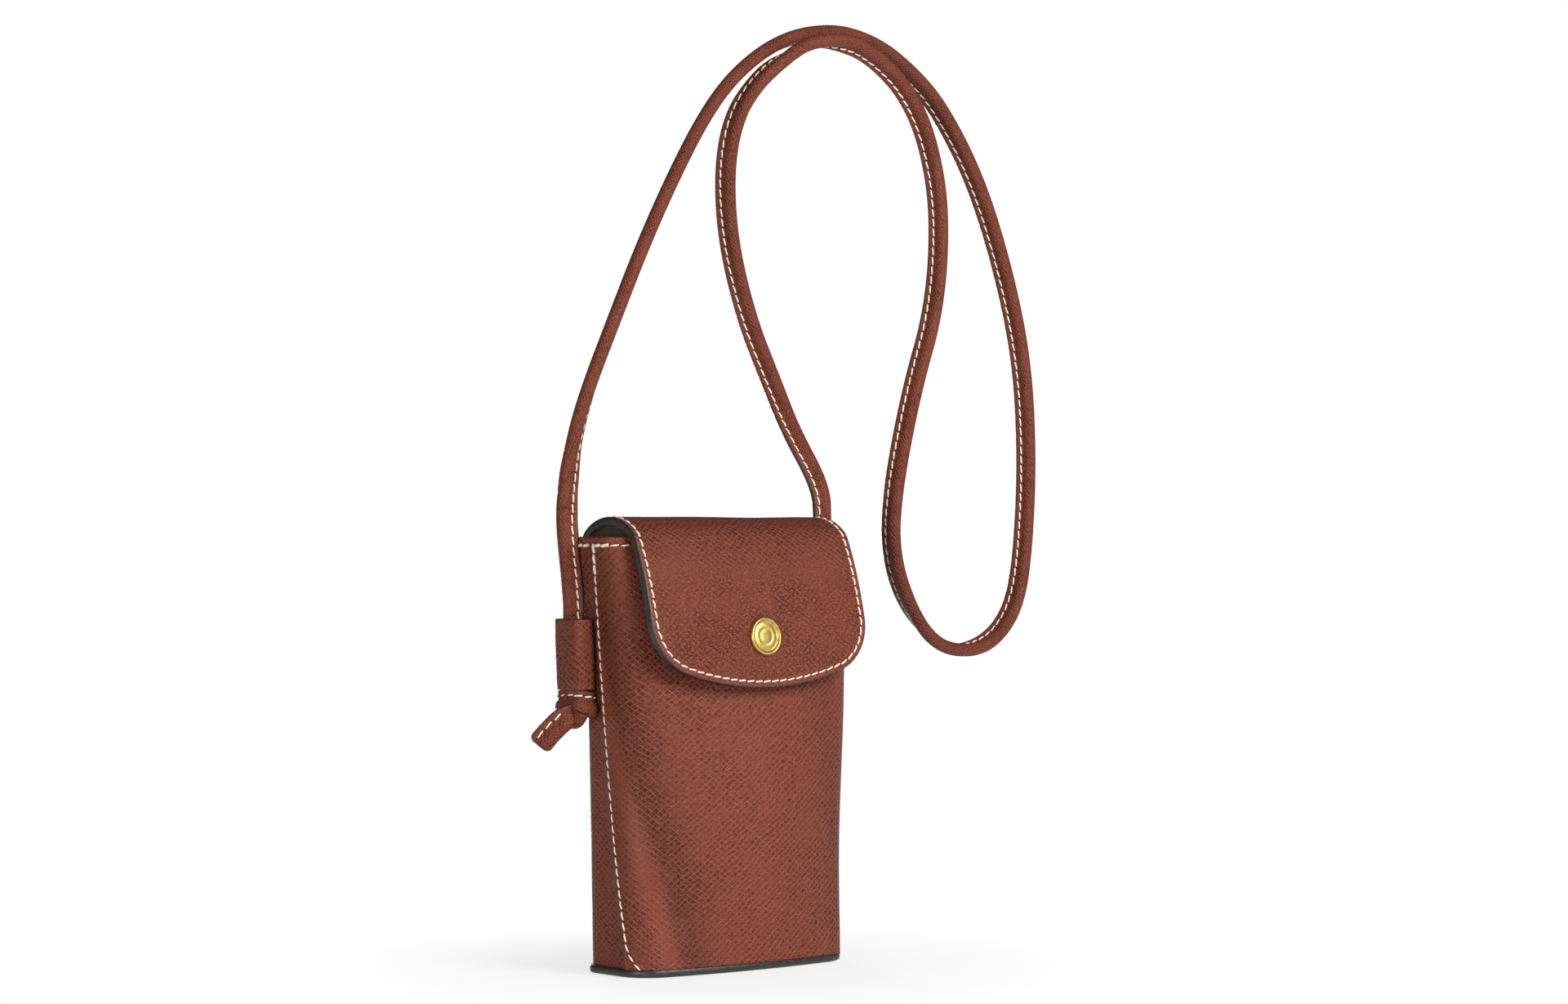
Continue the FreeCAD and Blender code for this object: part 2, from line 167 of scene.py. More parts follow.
def seam_run(height):
    """Run from the front's middle to the side seam, which crosses from the side into the front corner."""
    start, legs = wall_legs(height)
    side_start, radius = full_run(legs[:2]), legs[1][1]
    beyond = through(seam_heights, seam_depths, height) - walk(start, 0.0, legs, side_start)[1]
    if beyond < 0:
        beyond = radius * math.asin(beyond / radius)
    return side_start + beyond


def stations(length, near=edge_stations, far=edge_stations, step=grid_step):
    """Places along a length, closer together towards both ends."""
    inner = length - near[-1] - far[-1]
    count = max(2, round(inner / step))
    middle = [near[-1] + inner * i / count for i in range(1, count)]
    return list(near) + middle + [length - place for place in reversed(far)]


def groove(*distances):
    """How far the sewing thread pulls the leather in, by the distance from each sewn edge."""
    return max(groove_depth * math.exp(-((d - stitch_margin) / groove_width) ** 2) for d in distances)


def rounded_off(distance):
    """How far a cut edge is rounded down at a distance from it."""
    rest = max(0.0, edge_rounding - distance)
    return edge_rounding - math.sqrt(edge_rounding ** 2 - rest ** 2)


def ripple(waves, across, along):
    """Slight unevenness of a hide: waves to the metre each way, and a number for the sheet."""
    return hide_wave * noise.noise(Vector((across * waves[0], along * waves[1], waves[2])))


def wire(tree, kind, inputs, output=0, **settings):
    """Adds a node, links its inputs that are sockets, sets the others and gives one of its outputs."""
    node = tree.nodes.new(kind)
    for name, value in settings.items():
        setattr(node, name, value)
    for name, value in inputs.items():
        if isinstance(value, bpy.types.NodeSocket):
            tree.links.new(value, node.inputs[name])
        else:
            node.inputs[name].default_value = value
    return node.outputs[output]


def reckon(tree, operation, *values):
    """Result of one operation on values and sockets."""
    return wire(tree, "ShaderNodeMath", dict(enumerate(values)), operation=operation)


def reckon_vector(tree, operation, one, two, output=0):
    second = 3 if operation == "SCALE" else 1
    return wire(tree, "ShaderNodeVectorMath", {0: one, second: two}, output, operation=operation)


def ease(tree, value, low, high, start=0.0, end=1.0):
    """Smooth step from start to end as a value goes from low to high."""
    return wire(tree, "ShaderNodeMapRange", {0: value, 1: low, 2: high, 3: start, 4: end},
                interpolation_type="SMOOTHSTEP")


def mixed(tree, factor, one, two):
    return wire(tree, "ShaderNodeMix", {0: factor, 6: one, 7: two}, 2, data_type="RGBA")


def speckle(tree, place, scale, detail=2.0, output=0):
    return wire(tree, "ShaderNodeTexNoise", {"Vector": place, "Scale": scale, "Detail": detail}, output)


def group(name, kind, inputs, outputs):
    """Empty node group with its named sockets, and the sockets as seen from inside."""
    tree = bpy.data.node_groups.new(name, kind)
    for in_out, sockets in (("INPUT", inputs), ("OUTPUT", outputs)):
        for socket, form in sockets.items():
            tree.interface.new_socket(socket, in_out=in_out, socket_type="NodeSocket" + form)
    return tree, tree.nodes.new("NodeGroupInput").outputs, tree.nodes.new("NodeGroupOutput").inputs


# The stamped grain: two crossing families of fine ridges, broken up, round small hollows. Where Cut
# is 1 the lines are pressed in instead, and in some patches the grain is worn to half its height.
crosshatch_grain, given, made = group(
    "crosshatch_grain", "ShaderNodeTree", {"Place": "Vector", "Cell": "Float", "Cut": "Float"},
    {"Height": "Float", "Light": "Float", "Tone": "Float"})
tree = crosshatch_grain
cells = reckon_vector(tree, "SCALE", given["Place"], reckon(tree, "DIVIDE", 1.0, given["Cell"]))
for scale, reach in ((0.15, 1.5), (0.6, 0.55), (1.9, 0.24)):
    drift = reckon_vector(tree, "SUBTRACT", speckle(tree, cells, scale, output="Color"), (0.5, 0.5, 0.5))
    cells = reckon_vector(tree, "ADD", cells, reckon_vector(tree, "SCALE", drift, reach))
lines, gaps = [], []
for slope, patch in ((0.80, 3.1), (-0.80, 7.7)):
    across = reckon_vector(tree, "DOT_PRODUCT", cells, (0.6, slope, 0), "Value")
    gap = reckon(tree, "PINGPONG", across, 0.5)
    moved = reckon_vector(tree, "ADD", cells, (0, 0, patch))
    broken = ease(tree, speckle(tree, moved, 0.50), 0.36, 0.56, 0.35, 1.0)
    lines.append(reckon(tree, "MULTIPLY", ease(tree, gap, 0.02, 0.20, 1.0, 0.0), broken))
    gaps.append(gap)
line = reckon(tree, "MAXIMUM", *lines)
pits = ease(tree, speckle(tree, cells, 0.9), 0.35, 0.65, 0.30, 1.25)
hollow = reckon(tree, "MULTIPLY", ease(tree, reckon(tree, "MINIMUM", *gaps), 0.06, 0.32), pits)
raised = reckon(tree, "MULTIPLY_ADD", hollow, -0.36, reckon(tree, "MULTIPLY", line, 0.52))
drawn = wire(tree, "ShaderNodeMapping",
             {"Vector": given["Place"], "Rotation": (0, 0, 0.6), "Scale": (1.0, 1.9, 1.0)})
pebble = ease(tree, speckle(tree, drawn, 820.0, 1.0), 0.36, 0.64, -0.34, 0.34)
cut = reckon(tree, "MULTIPLY_ADD", hollow, 0.26, reckon(tree, "MULTIPLY_ADD", line, -0.45, pebble))
shape = reckon(tree, "MULTIPLY_ADD", given["Cut"], reckon(tree, "SUBTRACT", cut, raised), raised)
tone = speckle(tree, cells, 0.085)
shape = reckon(tree, "MULTIPLY", shape, ease(tree, tone, 0.36, 0.62, 1.0, 0.55))
fine = speckle(tree, given["Place"], 1500.0, 3.0)
tree.links.new(reckon(tree, "MULTIPLY_ADD", fine, 1.15, reckon(tree, "SUBTRACT", shape, 0.11)), made["Light"])
tree.links.new(reckon(tree, "MULTIPLY_ADD", fine, 0.45, shape), made["Height"])
tree.links.new(tone, made["Tone"])


def new_material(name):
    """Empty material, with its nodes and its shader."""
    material = bpy.data.materials.new(name)
    material.use_nodes = True
    return material, material.node_tree, material.node_tree.nodes["Principled BSDF"]


def dress(tree, shader, colour, rough, height, relief):
    """Links a material's colour, roughness and relief to its shader."""
    raised = wire(tree, "ShaderNodeBump", {"Height": height, "Distance": relief, "Strength": 1.0})
    for name, value in (("Base Color", colour), ("Roughness", rough), ("Normal", raised)):
        tree.links.new(value, shader.inputs[name])


def stamped_hide(name, cell, shades, cut_runs=None, shading_and_wear_bands=()):
    """Stamped leather, smoother and shinier where the attribute rub or a band says it is worn.

    Each band also carries painted light: a highlight where it makes the leather lighter, painted
    shade where it makes it darker. Between the two cut_runs the grain goes over from raised to cut in,
    and the painted shade on the raised part before them fades out.
    """
    valley, ridge, worn = shades
    material, tree, shader = new_material(name)
    place = wire(tree, "ShaderNodeUVMap", {}, uv_map="pattern")
    rub = wire(tree, "ShaderNodeAttribute", {}, "Fac", attribute_name="rub")
    grain = tree.nodes.new("ShaderNodeGroup")
    grain.node_tree = crosshatch_grain
    tree.links.new(place, grain.inputs["Place"])
    grain.inputs["Cell"].default_value = cell
    light = grain.outputs["Light"]
    along = wire(tree, "ShaderNodeSeparateXYZ", {0: place}, "Y")
    if cut_runs:
        tree.links.new(ease(tree, along, *cut_runs, 0.0, cut_share), grain.inputs["Cut"])
        # Painted shade on the raised grain before the cut runs, fading out where the grain is cut in.
        light = reckon(tree, "ADD", light, ease(tree, along, *cut_runs, crown_painted_shade, 0.0))
    # Bands of painted highlight and painted shade, some of them also rubbed smooth.
    for side, foot_run, lean, half_width, painted_shading, rubbed in shading_and_wear_bands:
        middle = reckon(tree, "MULTIPLY_ADD", along, lean, foot_run)
        across = wire(tree, "ShaderNodeSeparateXYZ", {0: place}, "X")
        off = reckon(tree, "ABSOLUTE", reckon(tree, "MULTIPLY_ADD", across, -side, middle))
        near = ease(tree, off, 0.0, half_width, 1.0, 0.0)
        light = reckon(tree, "MULTIPLY_ADD", near, painted_shading, light)
        rub = reckon(tree, "MULTIPLY_ADD", near, rubbed, rub)
    colour = mixed(tree, light, valley, ridge)
    colour = mixed(tree, ease(tree, grain.outputs["Tone"], 0.40, 0.70, 0.0, patch_wear), colour, worn)
    colour = mixed(tree, reckon(tree, "MULTIPLY", rub, rub_colour), colour, worn)
    shader.inputs["Specular IOR Level"].default_value = hide_shine
    rough = reckon(tree, "MULTIPLY_ADD", rub, rub_rough, hide_rough)
    rough = reckon(tree, "MULTIPLY_ADD", grain.outputs["Light"], ridge_rough, rough)
    kept = reckon(tree, "MULTIPLY_ADD", rub, rub_grain, 1.0)
    dress(tree, shader, colour, rough, reckon(tree, "MULTIPLY", grain.outputs["Height"], kept), grain_relief)
    return material


def two_tone(name, scale, detail, shades, rough, relief, sharp=False):
    """Two shades in fine specks, with roughness and a little relief that go with them."""
    material, tree, shader = new_material(name)
    speck = speckle(tree, wire(tree, "ShaderNodeTexCoord", {}, "Object"), scale, detail)
    shade = ease(tree, speck, 0.3, 0.7) if sharp else speck
    dress(tree, shader, mixed(tree, shade, *shades), ease(tree, speck, 0.3, 0.7, *rough), speck, relief)
    return material


def suede(name, shades):
    """Napped leather or lining: matt, mottled, with short fibres."""
    material, tree, shader = new_material(name)
    place = wire(tree, "ShaderNodeTexCoord", {}, "Object")
    patch = speckle(tree, place, 90.0, 4.0)
    fibre = speckle(tree, place, 2200.0)
    shade = reckon(tree, "MULTIPLY_ADD", fibre, 0.6, reckon(tree, "MULTIPLY", patch, 0.5))
    dress(tree, shader, mixed(tree, shade, *shades), ease(tree, fibre, 0.3, 0.7, 0.85, 1.0), fibre, 0.0003)
    return material


front_hide = stamped_hide("front_hide", hide_cell, hide_shades, shading_and_wear_bands=painted_light_and_wear_bands)
edge_paint = two_tone("edge_paint", 420.0, 3.0, paint_shades, (0.34, 0.5), 0.00012)
raw_hide = suede("raw_hide", raw_shades)


def add(name, data):
    """Object at the origin with the given mesh, lamp or camera."""
    thing = bpy.data.objects.new(name, data)
    bpy.context.scene.collection.objects.link(thing)
    return thing


def put(name, bm, materials):
    """Turns a closed bmesh into an object, with its faces outward."""
    bmesh.ops.recalc_face_normals(bm, faces=bm.faces[:])
    mesh = bpy.data.meshes.new(name)
    bm.to_mesh(mesh)
    bm.free()
    for material in materials:
        mesh.materials.append(material)
    return add(name, mesh)


def new_hide():
    """Empty bmesh with the layers that leather needs: places on its pattern and how rubbed it is."""
    bm = bmesh.new()
    return bm, bm.loops.layers.uv.new("pattern"), bm.verts.layers.float.new("rub")


def leather_sheet(name, grid, thickness, materials, wrap=False, fill=0.0, finished=0):
    """Closed sheet from rows of (point, facing, pattern place, edge distance, painted or not).

    The materials are those of the face, the edge and the back. Finished is 0 where the face has the
    rounded, painted edge, and 1 where the back has it. Fill thickens the sheet towards its edge. With
    wrap it closes round on itself.
    """
    bm, pattern, rub = new_hide()
    layers = ([], [])
    for row in grid:
        for layer in layers:
            layer.append([])
            for point, facing, place, edge, painted in row[:-1] if wrap else row:
                depth = 0.0
                if layer is layers[1]:
                    depth = thickness + fill * max(0.0, 1 - edge / fill_reach) ** 2
                if layer is layers[finished]:
                    depth += rounded_off(edge) * (1 - 2 * finished)
                vert = bm.verts.new(point - depth * facing + foot)
                vert[rub] = max(0.0, 1 - edge / rub_reach)
                layer[-1].append(vert)
            if wrap:
                layer[-1].append(layer[-1][0])
    top, columns = len(grid) - 1, len(grid[0]) - 1

    def quad(corners, material):
        face = bm.faces.new([layers[k][i][j] for k, i, j in corners])
        face.material_index = material
        face.smooth = True
        for loop, (k, i, j) in zip(face.loops, corners):
            loop[pattern].uv = grid[i][j][2]

    for i in range(top):
        for j in range(columns):
            slots = [0, 2]
            if all(grid[a][b][4] for a in (i, i + 1) for b in (j, j + 1)):
                slots[finished] = 1
            quad([(0, i, j), (0, i, j + 1), (0, i + 1, j + 1), (0, i + 1, j)], slots[0])
            quad([(1, i, j), (1, i + 1, j), (1, i + 1, j + 1), (1, i, j + 1)], slots[1])
    rim = [((i, j), (i, j + 1)) for i in (0, top) for j in range(columns)]
    if not wrap:
        rim += [((i, j), (i + 1, j)) for j in (0, columns) for i in range(top)]
    for (i, j), (k, l) in rim:
        quad([(0, i, j), (1, i, j), (1, k, l), (0, k, l)], 1)
        bm.edges.get((layers[1 - finished][i][j], layers[1 - finished][k][l])).smooth = False
    return put(name, bm, materials)


def wall_sheet(name, columns_at, heights, depth, thickness, materials, sewn=False, swell=0.0):
    """Sheet on the walls. columns_at gives the runs at a height with their edge distances."""
    grid = []
    for height in heights:
        row = []
        for run, edge in columns_at(height):
            below = mouth_height - height
            point, facing = wall_at(height, run, depth)
            hold = min(1.0, edge / wave_hold, below / wave_hold, (height - sole_top) / wave_hold)
            out = ripple(wall_waves, run, height) * hold
            out += swell * math.exp(-(below / swell_reach) ** 2) * abs(facing.x)
            if sewn:
                out -= groove(edge, below)
            painted = edge <= seam_paint_and_shade_lip or below <= mouth_lip
            row.append((point + facing * out, facing, (run, height), min(edge, below), painted))
        grid.append(row)
    return leather_sheet(name, grid, thickness, materials)


wall_heights = [sole_top + place for place in stations(mouth_height - sole_top, near=sole_stations)]
lap_shares = [place / seam_run(waist_height) for place in stations(2 * seam_run(waist_height))]


def front_columns(height):
    reach = seam_run(height)
    return [((share - 1) * reach, min(share, 2 - share) * reach) for share in lap_shares]


front_panel = wall_sheet("front_panel_hide", front_columns, wall_heights, 0.0, hide_thickness,
                         (front_hide, edge_paint, raw_hide), sewn=True)
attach(front_panel, "pouch")
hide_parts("front_panel")

# Back panel. The same hide, cut to the back and sides and tucked under the front panel along both
# seams, so that its own edge only shows at the mouth.
glue_line = 0.00005
back_depth = hide_thickness + glue_line
back_thickness = 0.0013
back_swell = 0.0009
tuck = 0.0050
tuck_stations = (0.0, 0.0025, 0.0050)
no_edge = 0.0200
panel_hide = stamped_hide("panel_hide", hide_cell, hide_shades)


def half_outline(height):
    """Run from the front's middle to the back's middle."""
    return full_run(wall_legs(height)[1])


back_length = 2 * (half_outline(waist_height) - seam_run(waist_height) + tuck)
back_shares = [place / back_length for place in stations(back_length, tuck_stations, tuck_stations)]


def back_columns(height):
    start = seam_run(height) - tuck
    length = 2 * (half_outline(height) - start)
    return [(start + share * length, no_edge) for share in back_shares]


back_panel = wall_sheet("back_panel_hide", back_columns, wall_heights, back_depth, back_thickness,
                        (panel_hide, edge_paint, raw_hide), sewn=True, swell=back_swell)
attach(back_panel, "pouch")
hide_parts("back_panel")

# Wall stitches. Thick waxed cream thread in holes pricked at an even pitch, along both seams and
# the front of the mouth, doubled at the mouth's corners.
stitch_pitch = 0.0041
stitch_length = 0.0032
thread_thickness = 0.0007
doubled_thickness = 0.0013
stitch_rise = 0.0007
stitch_sink = -0.3
stitch_slant = math.radians(7)
thread_sides = 6
needle_hole = 0.0004
hole_form = (1.4, 1.0, 0.25)
hole_mesh = {"Segments": 6, "Rings": 4}
doubled_down = 3
doubled_across = 2
corner_drop = 0.0012
corner_inset = 0.0026
mouth_margin = 0.0034
sewn_top = mouth_height - mouth_margin
seam_end = sole_top + 0.0012
seam_foot = 0.0100
seam_sweep = 0.0045
back_inset = 0.0030
row_steps = 80
thread_shades = ((0.66, 0.54, 0.39, 1), (0.93, 0.84, 0.68, 1))
# Near-black colours of the dots at the needle holes: painted shade in the holes.
painted_hole_shades = ((0.012, 0.006, 0.005, 1), (0.030, 0.012, 0.008, 1))

# Every edge of the mesh that it is given becomes a row: an arched thread at each pitch, turned to the
# attribute outward, with a flat near-black dot between it and the next: painted shade in the needle hole.
stitch_row, given, made = group(
    "stitch_row", "GeometryNodeTree",
    {"Geometry": "Geometry", "Pitch": "Float", "Length": "Float", "Thickness": "Float", "Rise": "Float",
     "Hole": "Float", "Slant": "Float", "Thread": "Material", "Hole shade": "Material"}, {"Geometry": "Geometry"})
tree = stitch_row
line = wire(tree, "GeometryNodeMeshToCurve", {"Mesh": given["Geometry"]})
line = wire(tree, "GeometryNodeResampleCurve", {"Curve": line, "Length": given["Pitch"]}, mode="LENGTH")
outward = wire(tree, "GeometryNodeInputNamedAttribute", {"Name": "outward"}, data_type="FLOAT_VECTOR")
ahead = wire(tree, "GeometryNodeInputTangent", {})
turned = wire(tree, "FunctionNodeAxesToRotation", {0: outward, 1: ahead},
              primary_axis="Z", secondary_axis="X")
slanted = wire(tree, "FunctionNodeAxisAngleToRotation", {"Axis": (0, 0, 1), "Angle": given["Slant"]})
turned = wire(tree, "FunctionNodeRotateRotation", {0: turned, 1: slanted}, rotation_space="LOCAL")
half = reckon(tree, "MULTIPLY", given["Length"], 0.5)
sunk = reckon(tree, "MULTIPLY", given["Rise"], stitch_sink)
start = wire(tree, "ShaderNodeCombineXYZ", {"X": reckon(tree, "MULTIPLY", half, -1.0), "Z": sunk})
end = wire(tree, "ShaderNodeCombineXYZ", {"X": half, "Z": sunk})
middle = wire(tree, "ShaderNodeCombineXYZ", {"Z": given["Rise"]})
arch = wire(tree, "GeometryNodeCurveQuadraticBezier",
            {"Resolution": thread_sides, "Start": start, "Middle": middle, "End": end})
radius = reckon(tree, "MULTIPLY", given["Thickness"], 0.5)
ring = wire(tree, "GeometryNodeCurvePrimitiveCircle", {"Resolution": thread_sides, "Radius": radius},
            mode="RADIUS")
thread = wire(tree, "GeometryNodeCurveToMesh", {"Curve": arch, "Profile Curve": ring, "Fill Caps": True})
dot = wire(tree, "GeometryNodeMeshUVSphere", {**hole_mesh, "Radius": given["Hole"]})
between = wire(tree, "ShaderNodeCombineXYZ", {"X": reckon(tree, "MULTIPLY", given["Pitch"], 0.5)})
dot = wire(tree, "GeometryNodeTransform", {"Geometry": dot, "Translation": between, "Scale": hole_form})
dot = wire(tree, "GeometryNodeStoreNamedAttribute", {"Geometry": dot, "Name": "pricked", "Value": True},
           data_type="BOOLEAN", domain="FACE")
stitch = tree.nodes.new("GeometryNodeJoinGeometry")
for part in (dot, thread):
    tree.links.new(part, stitch.inputs[0])
sewn = wire(tree, "GeometryNodeInstanceOnPoints",
            {"Points": line, "Instance": stitch.outputs[0], "Rotation": turned})
sewn = wire(tree, "GeometryNodeSetShadeSmooth", {"Geometry": sewn})
sewn = wire(tree, "GeometryNodeRealizeInstances", {"Geometry": sewn})
sewn = wire(tree, "GeometryNodeSetMaterial", {"Geometry": sewn, "Material": given["Thread"]})
pricked = wire(tree, "GeometryNodeInputNamedAttribute", {"Name": "pricked"}, data_type="BOOLEAN")
sewn = wire(tree, "GeometryNodeSetMaterial",
            {"Geometry": sewn, "Selection": pricked, "Material": given["Hole shade"]})
tree.links.new(sewn, made["Geometry"])

cream_thread = two_tone("cream_thread", 1500.0, 2.0, thread_shades, (0.75, 0.55), 0.0001, sharp=True)
# The dots at the needle holes, near black: painted shade.
needle_hole_shade, tree, shader = new_material("needle_hole_shade")
speck = speckle(tree, wire(tree, "ShaderNodeTexCoord", {}, "Object"), 900.0)
tree.links.new(mixed(tree, speck, *painted_hole_shades), shader.inputs["Base Color"])
shader.inputs["Roughness"].default_value = 0.95


def sew(name, rows, thickness=thread_thickness):
    """Stitches on rows of (point, outward), as one plain mesh."""
    points, outwards, edges = [], [], []
    for row in rows:
        edges += [(len(points) + i, len(points) + i + 1) for i in range(len(row) - 1)]
        points += [point + foot for point, outward in row]
        outwards += [number for point, outward in row for number in outward]
    mesh = bpy.data.meshes.new(name)
    mesh.from_pydata(points, edges, [])
    mesh.attributes.new("outward", "FLOAT_VECTOR", "POINT").data.foreach_set("vector", outwards)
    piece = add(name, mesh)
    sizes = {"Pitch": stitch_pitch, "Length": stitch_length, "Thickness": thickness, "Rise": stitch_rise,
             "Hole": needle_hole, "Slant": stitch_slant, "Thread": cream_thread, "Hole shade": needle_hole_shade}
    sewing = piece.modifiers.new("sewing", "NODES")
    sewing.node_group = stitch_row
    for socket in stitch_row.interface.items_tree:
        if socket.in_out == "INPUT" and socket.name in sizes:
            sewing[socket.identifier] = sizes[socket.name]
    piece.data = bpy.data.meshes.new_from_object(piece.evaluated_get(bpy.context.evaluated_depsgraph_get()))
    piece.modifiers.clear()
    piece.data.name = name
    return piece


def wall_facing(height, run):
    """The way the wall faces with its slope counted in."""
    small = 0.001
    low, high = max(sole_top, height - small), min(mouth_height, height + small)
    up = (wall_at(high, run)[0] - wall_at(low, run)[0]).normalized()
    facing = wall_at(height, run)[1]
    return (facing - up * facing.dot(up)).normalized()


def on_wall(height, run, depth=0.0):
    return wall_at(height, run, depth + groove_depth)[0], wall_facing(height, run)


def seam_place(side, height):
    """Place on the seam's row of stitches, which sweeps forward at its foot."""
    sweep = seam_sweep * max(0.0, 1 - (height - sole_top) / seam_foot) ** 2
    return on_wall(height, side * (seam_run(height) - stitch_margin - sweep))


def steps_between(start, end, count=row_steps):
    return [start + (end - start) * i / count for i in range(count + 1)]


def seam_row(side, start, end):
    return [seam_place(side, height) for height in steps_between(start, end)]


def mouth_row(side, start, end, depth=0.0):
    return [on_wall(sewn_top, side * run, depth) for run in steps_between(start, end)]


plain_rows, doubled_rows = [], []
for side in (-1, 1):
    high = sewn_top - corner_drop
    low = high - (doubled_down - 1) * stitch_pitch
    corner_run = seam_run(sewn_top) - stitch_margin - corner_inset
    doubled_end = corner_run - (doubled_across - 1) * stitch_pitch
    back_run = seam_run(sewn_top) + back_inset
    doubled_rows += [seam_row(side, high, low), mouth_row(side, corner_run, doubled_end),
                     mouth_row(side, back_run, back_run + stitch_pitch, back_depth - back_swell)]
    plain_rows += [seam_row(side, low - stitch_pitch, seam_end),
                   mouth_row(side, doubled_end - stitch_pitch, 0.0)]
wall_stitches = sew("wall_stitches", plain_rows)
corner_stitches = sew("corner_stitches", doubled_rows, doubled_thickness)
for piece in (wall_stitches, corner_stitches):
    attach(piece, "pouch")

# Pocket lining. Thin napped cloth, taupe and matt, glued inside both halves of the pocket up to the
# mouth and on its floor.
lining_depth = 0.00285
lining_thickness = 0.0008
lining_low = 0.0050
lining_high = mouth_height - 0.0002
lining_meet = 0.52
lining_rows = 60
lining_columns = 100
floor_inset = 0.0036
floor_thickness = 0.0006
floor_rounding = 0.0002
plate_steps = 180
edge_ease = 0.3
pocket_suede = suede("pocket_suede", ((0.24, 0.196, 0.150, 1), (0.46, 0.388, 0.308, 1)))


def pocket_columns(start, end):
    """Columns of a half of the lining between two shares of the half outline."""
    return lambda height: [(share * half_outline(height), no_edge)
                           for share in steps_between(start, end, lining_columns)]


lining_heights = steps_between(lining_low, lining_high, lining_rows)
for name, node, start, end in (("front_lining_cloth", "front_lining", -lining_meet, lining_meet),
                               ("back_lining_cloth", "back_lining", lining_meet, 2 - lining_meet)):
    piece = wall_sheet(name, pocket_columns(start, end), lining_heights, lining_depth, lining_thickness,
                       [pocket_suede] * 3)
    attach(piece, "pouch")
    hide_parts(node)


def skin(bm, rings, side=0, end=0):
    """Skin over rings of vertices, with a flat cap at each end. Gives its faces ring by ring."""
    rows = []
    for lower, upper in zip(rings, rings[1:]):
        corners = zip(lower, lower[1:] + lower[:1], upper[1:] + upper[:1], upper)
        rows.append([bm.faces.new(four) for four in corners])
        for face in rows[-1]:
            face.material_index = side
            face.smooth = True
    for ring in (rings[0], rings[-1]):
        bm.faces.new(ring).material_index = end
    return rows


def plate(name, inset, low, high, rounding, materials):
    """Flat sheet with the walls' outline at the base, its lower edge rounded."""
    bm, pattern = new_hide()[:2]
    whole = half_outline(sole_top)
    eased = edge_ease * rounding
    rings = []
    for height, depth in ((low, inset + rounding), (low + eased, inset + eased), (low + rounding, inset),
                          (high - eased, inset), (high, inset + eased)):
        places = [wall_at(sole_top, (2 * i / plate_steps - 1) * whole, depth)[0] for i in range(plate_steps)]
        rings.append([bm.verts.new(Vector((place.x, place.y, height)) + foot) for place in places])
    skin(bm, rings, side=1)
    for face in bm.faces:
        for loop in face.loops:
            loop[pattern].uv = loop.vert.co.xy
    return put(name, bm, materials)


base_lining = plate("base_lining_cloth", floor_inset, lining_low, lining_low + floor_thickness,
                    floor_rounding, [pocket_suede] * 2)
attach(base_lining, "pouch")
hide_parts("base_lining")

# Sole. A thick slab of firm leather under the walls, dyed dark, with its edge painted black and
# burnished round.
sole_cell = 0.0011
sole_inset = 0.0002
sole_rounding = 0.0009
sole_shades = ((0.030, 0.018, 0.014, 1), (0.055, 0.032, 0.025, 1), (0.050, 0.030, 0.024, 1))
sole_hide = stamped_hide("sole_hide", sole_cell, sole_shades)
base_sole = plate("base_sole_slab", sole_inset, 0.0, sole_top, sole_rounding, (sole_hide, edge_paint))
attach(base_sole, "pouch")
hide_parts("base_sole")

# Stiffener and base board. Plain board behind the front and on the sole, glued in and hidden between
# hide and lining. Both stay as they are in CAD.
board_shades = ((0.22, 0.20, 0.17, 1), (0.34, 0.31, 0.27, 1))
board = two_tone("grey_board", 600.0, 4.0, board_shades, (0.8, 0.95), 0.0001)


def recoat(material, *nodes):
    """Gives a material to pieces that stay as they are in CAD."""
    for node in nodes:
        for slot in frame["nodes"][node].material_slots:
            slot.material = material


recoat(board, "front_stiffener", "base_board")

# Flap and yoke. One strip of the same hide, sewn flat on the back as a yoke, runs over the mouth in
# a soft crown and down the front. It bends where it leaves the back.
flap_thickness = 0.0015
flap_half_width = 0.0543
flap_bottom = 0.1112
flap_overrun = 0.0030
flap_corner = 0.0220
flap_bow = 0.1300
corner_x = flap_half_width - flap_corner
bow_height = flap_bottom + flap_bow
corner_height = bow_height - math.sqrt((flap_bow - flap_corner) ** 2 - corner_x ** 2)
yoke_height = 0.0240
yoke_low_depth = 0.0195
yoke_high_depth = 0.0190
yoke_fillet = 0.0080
hinge_depth = 0.0187
hinge_height = 0.1707
crown_start = math.radians(46)
crown_end = math.radians(-38)
shoulder_end = math.radians(-64)
front_end = math.radians(-90)
shoulder_radius = 0.0100
shoulder_height = 0.146
flap_span = 0.0349
flap_draw = 0.0010
draw_start = 0.050
draw_length = 0.040
flap_lip = 0.0006
flap_waves = (30, 24, 9.0)
flap_calm = 0.6
cut_heights = (0.168, 0.148)
crown_radius = ((flap_span - shoulder_radius * (math.sin(crown_end) - math.sin(shoulder_end)))
                / (math.sin(crown_start) - math.sin(crown_end)))


def bend(radius, start, end):
    """Leg of the strip that bends forward and down from one heading to another."""
    return radius * (start - end), radius


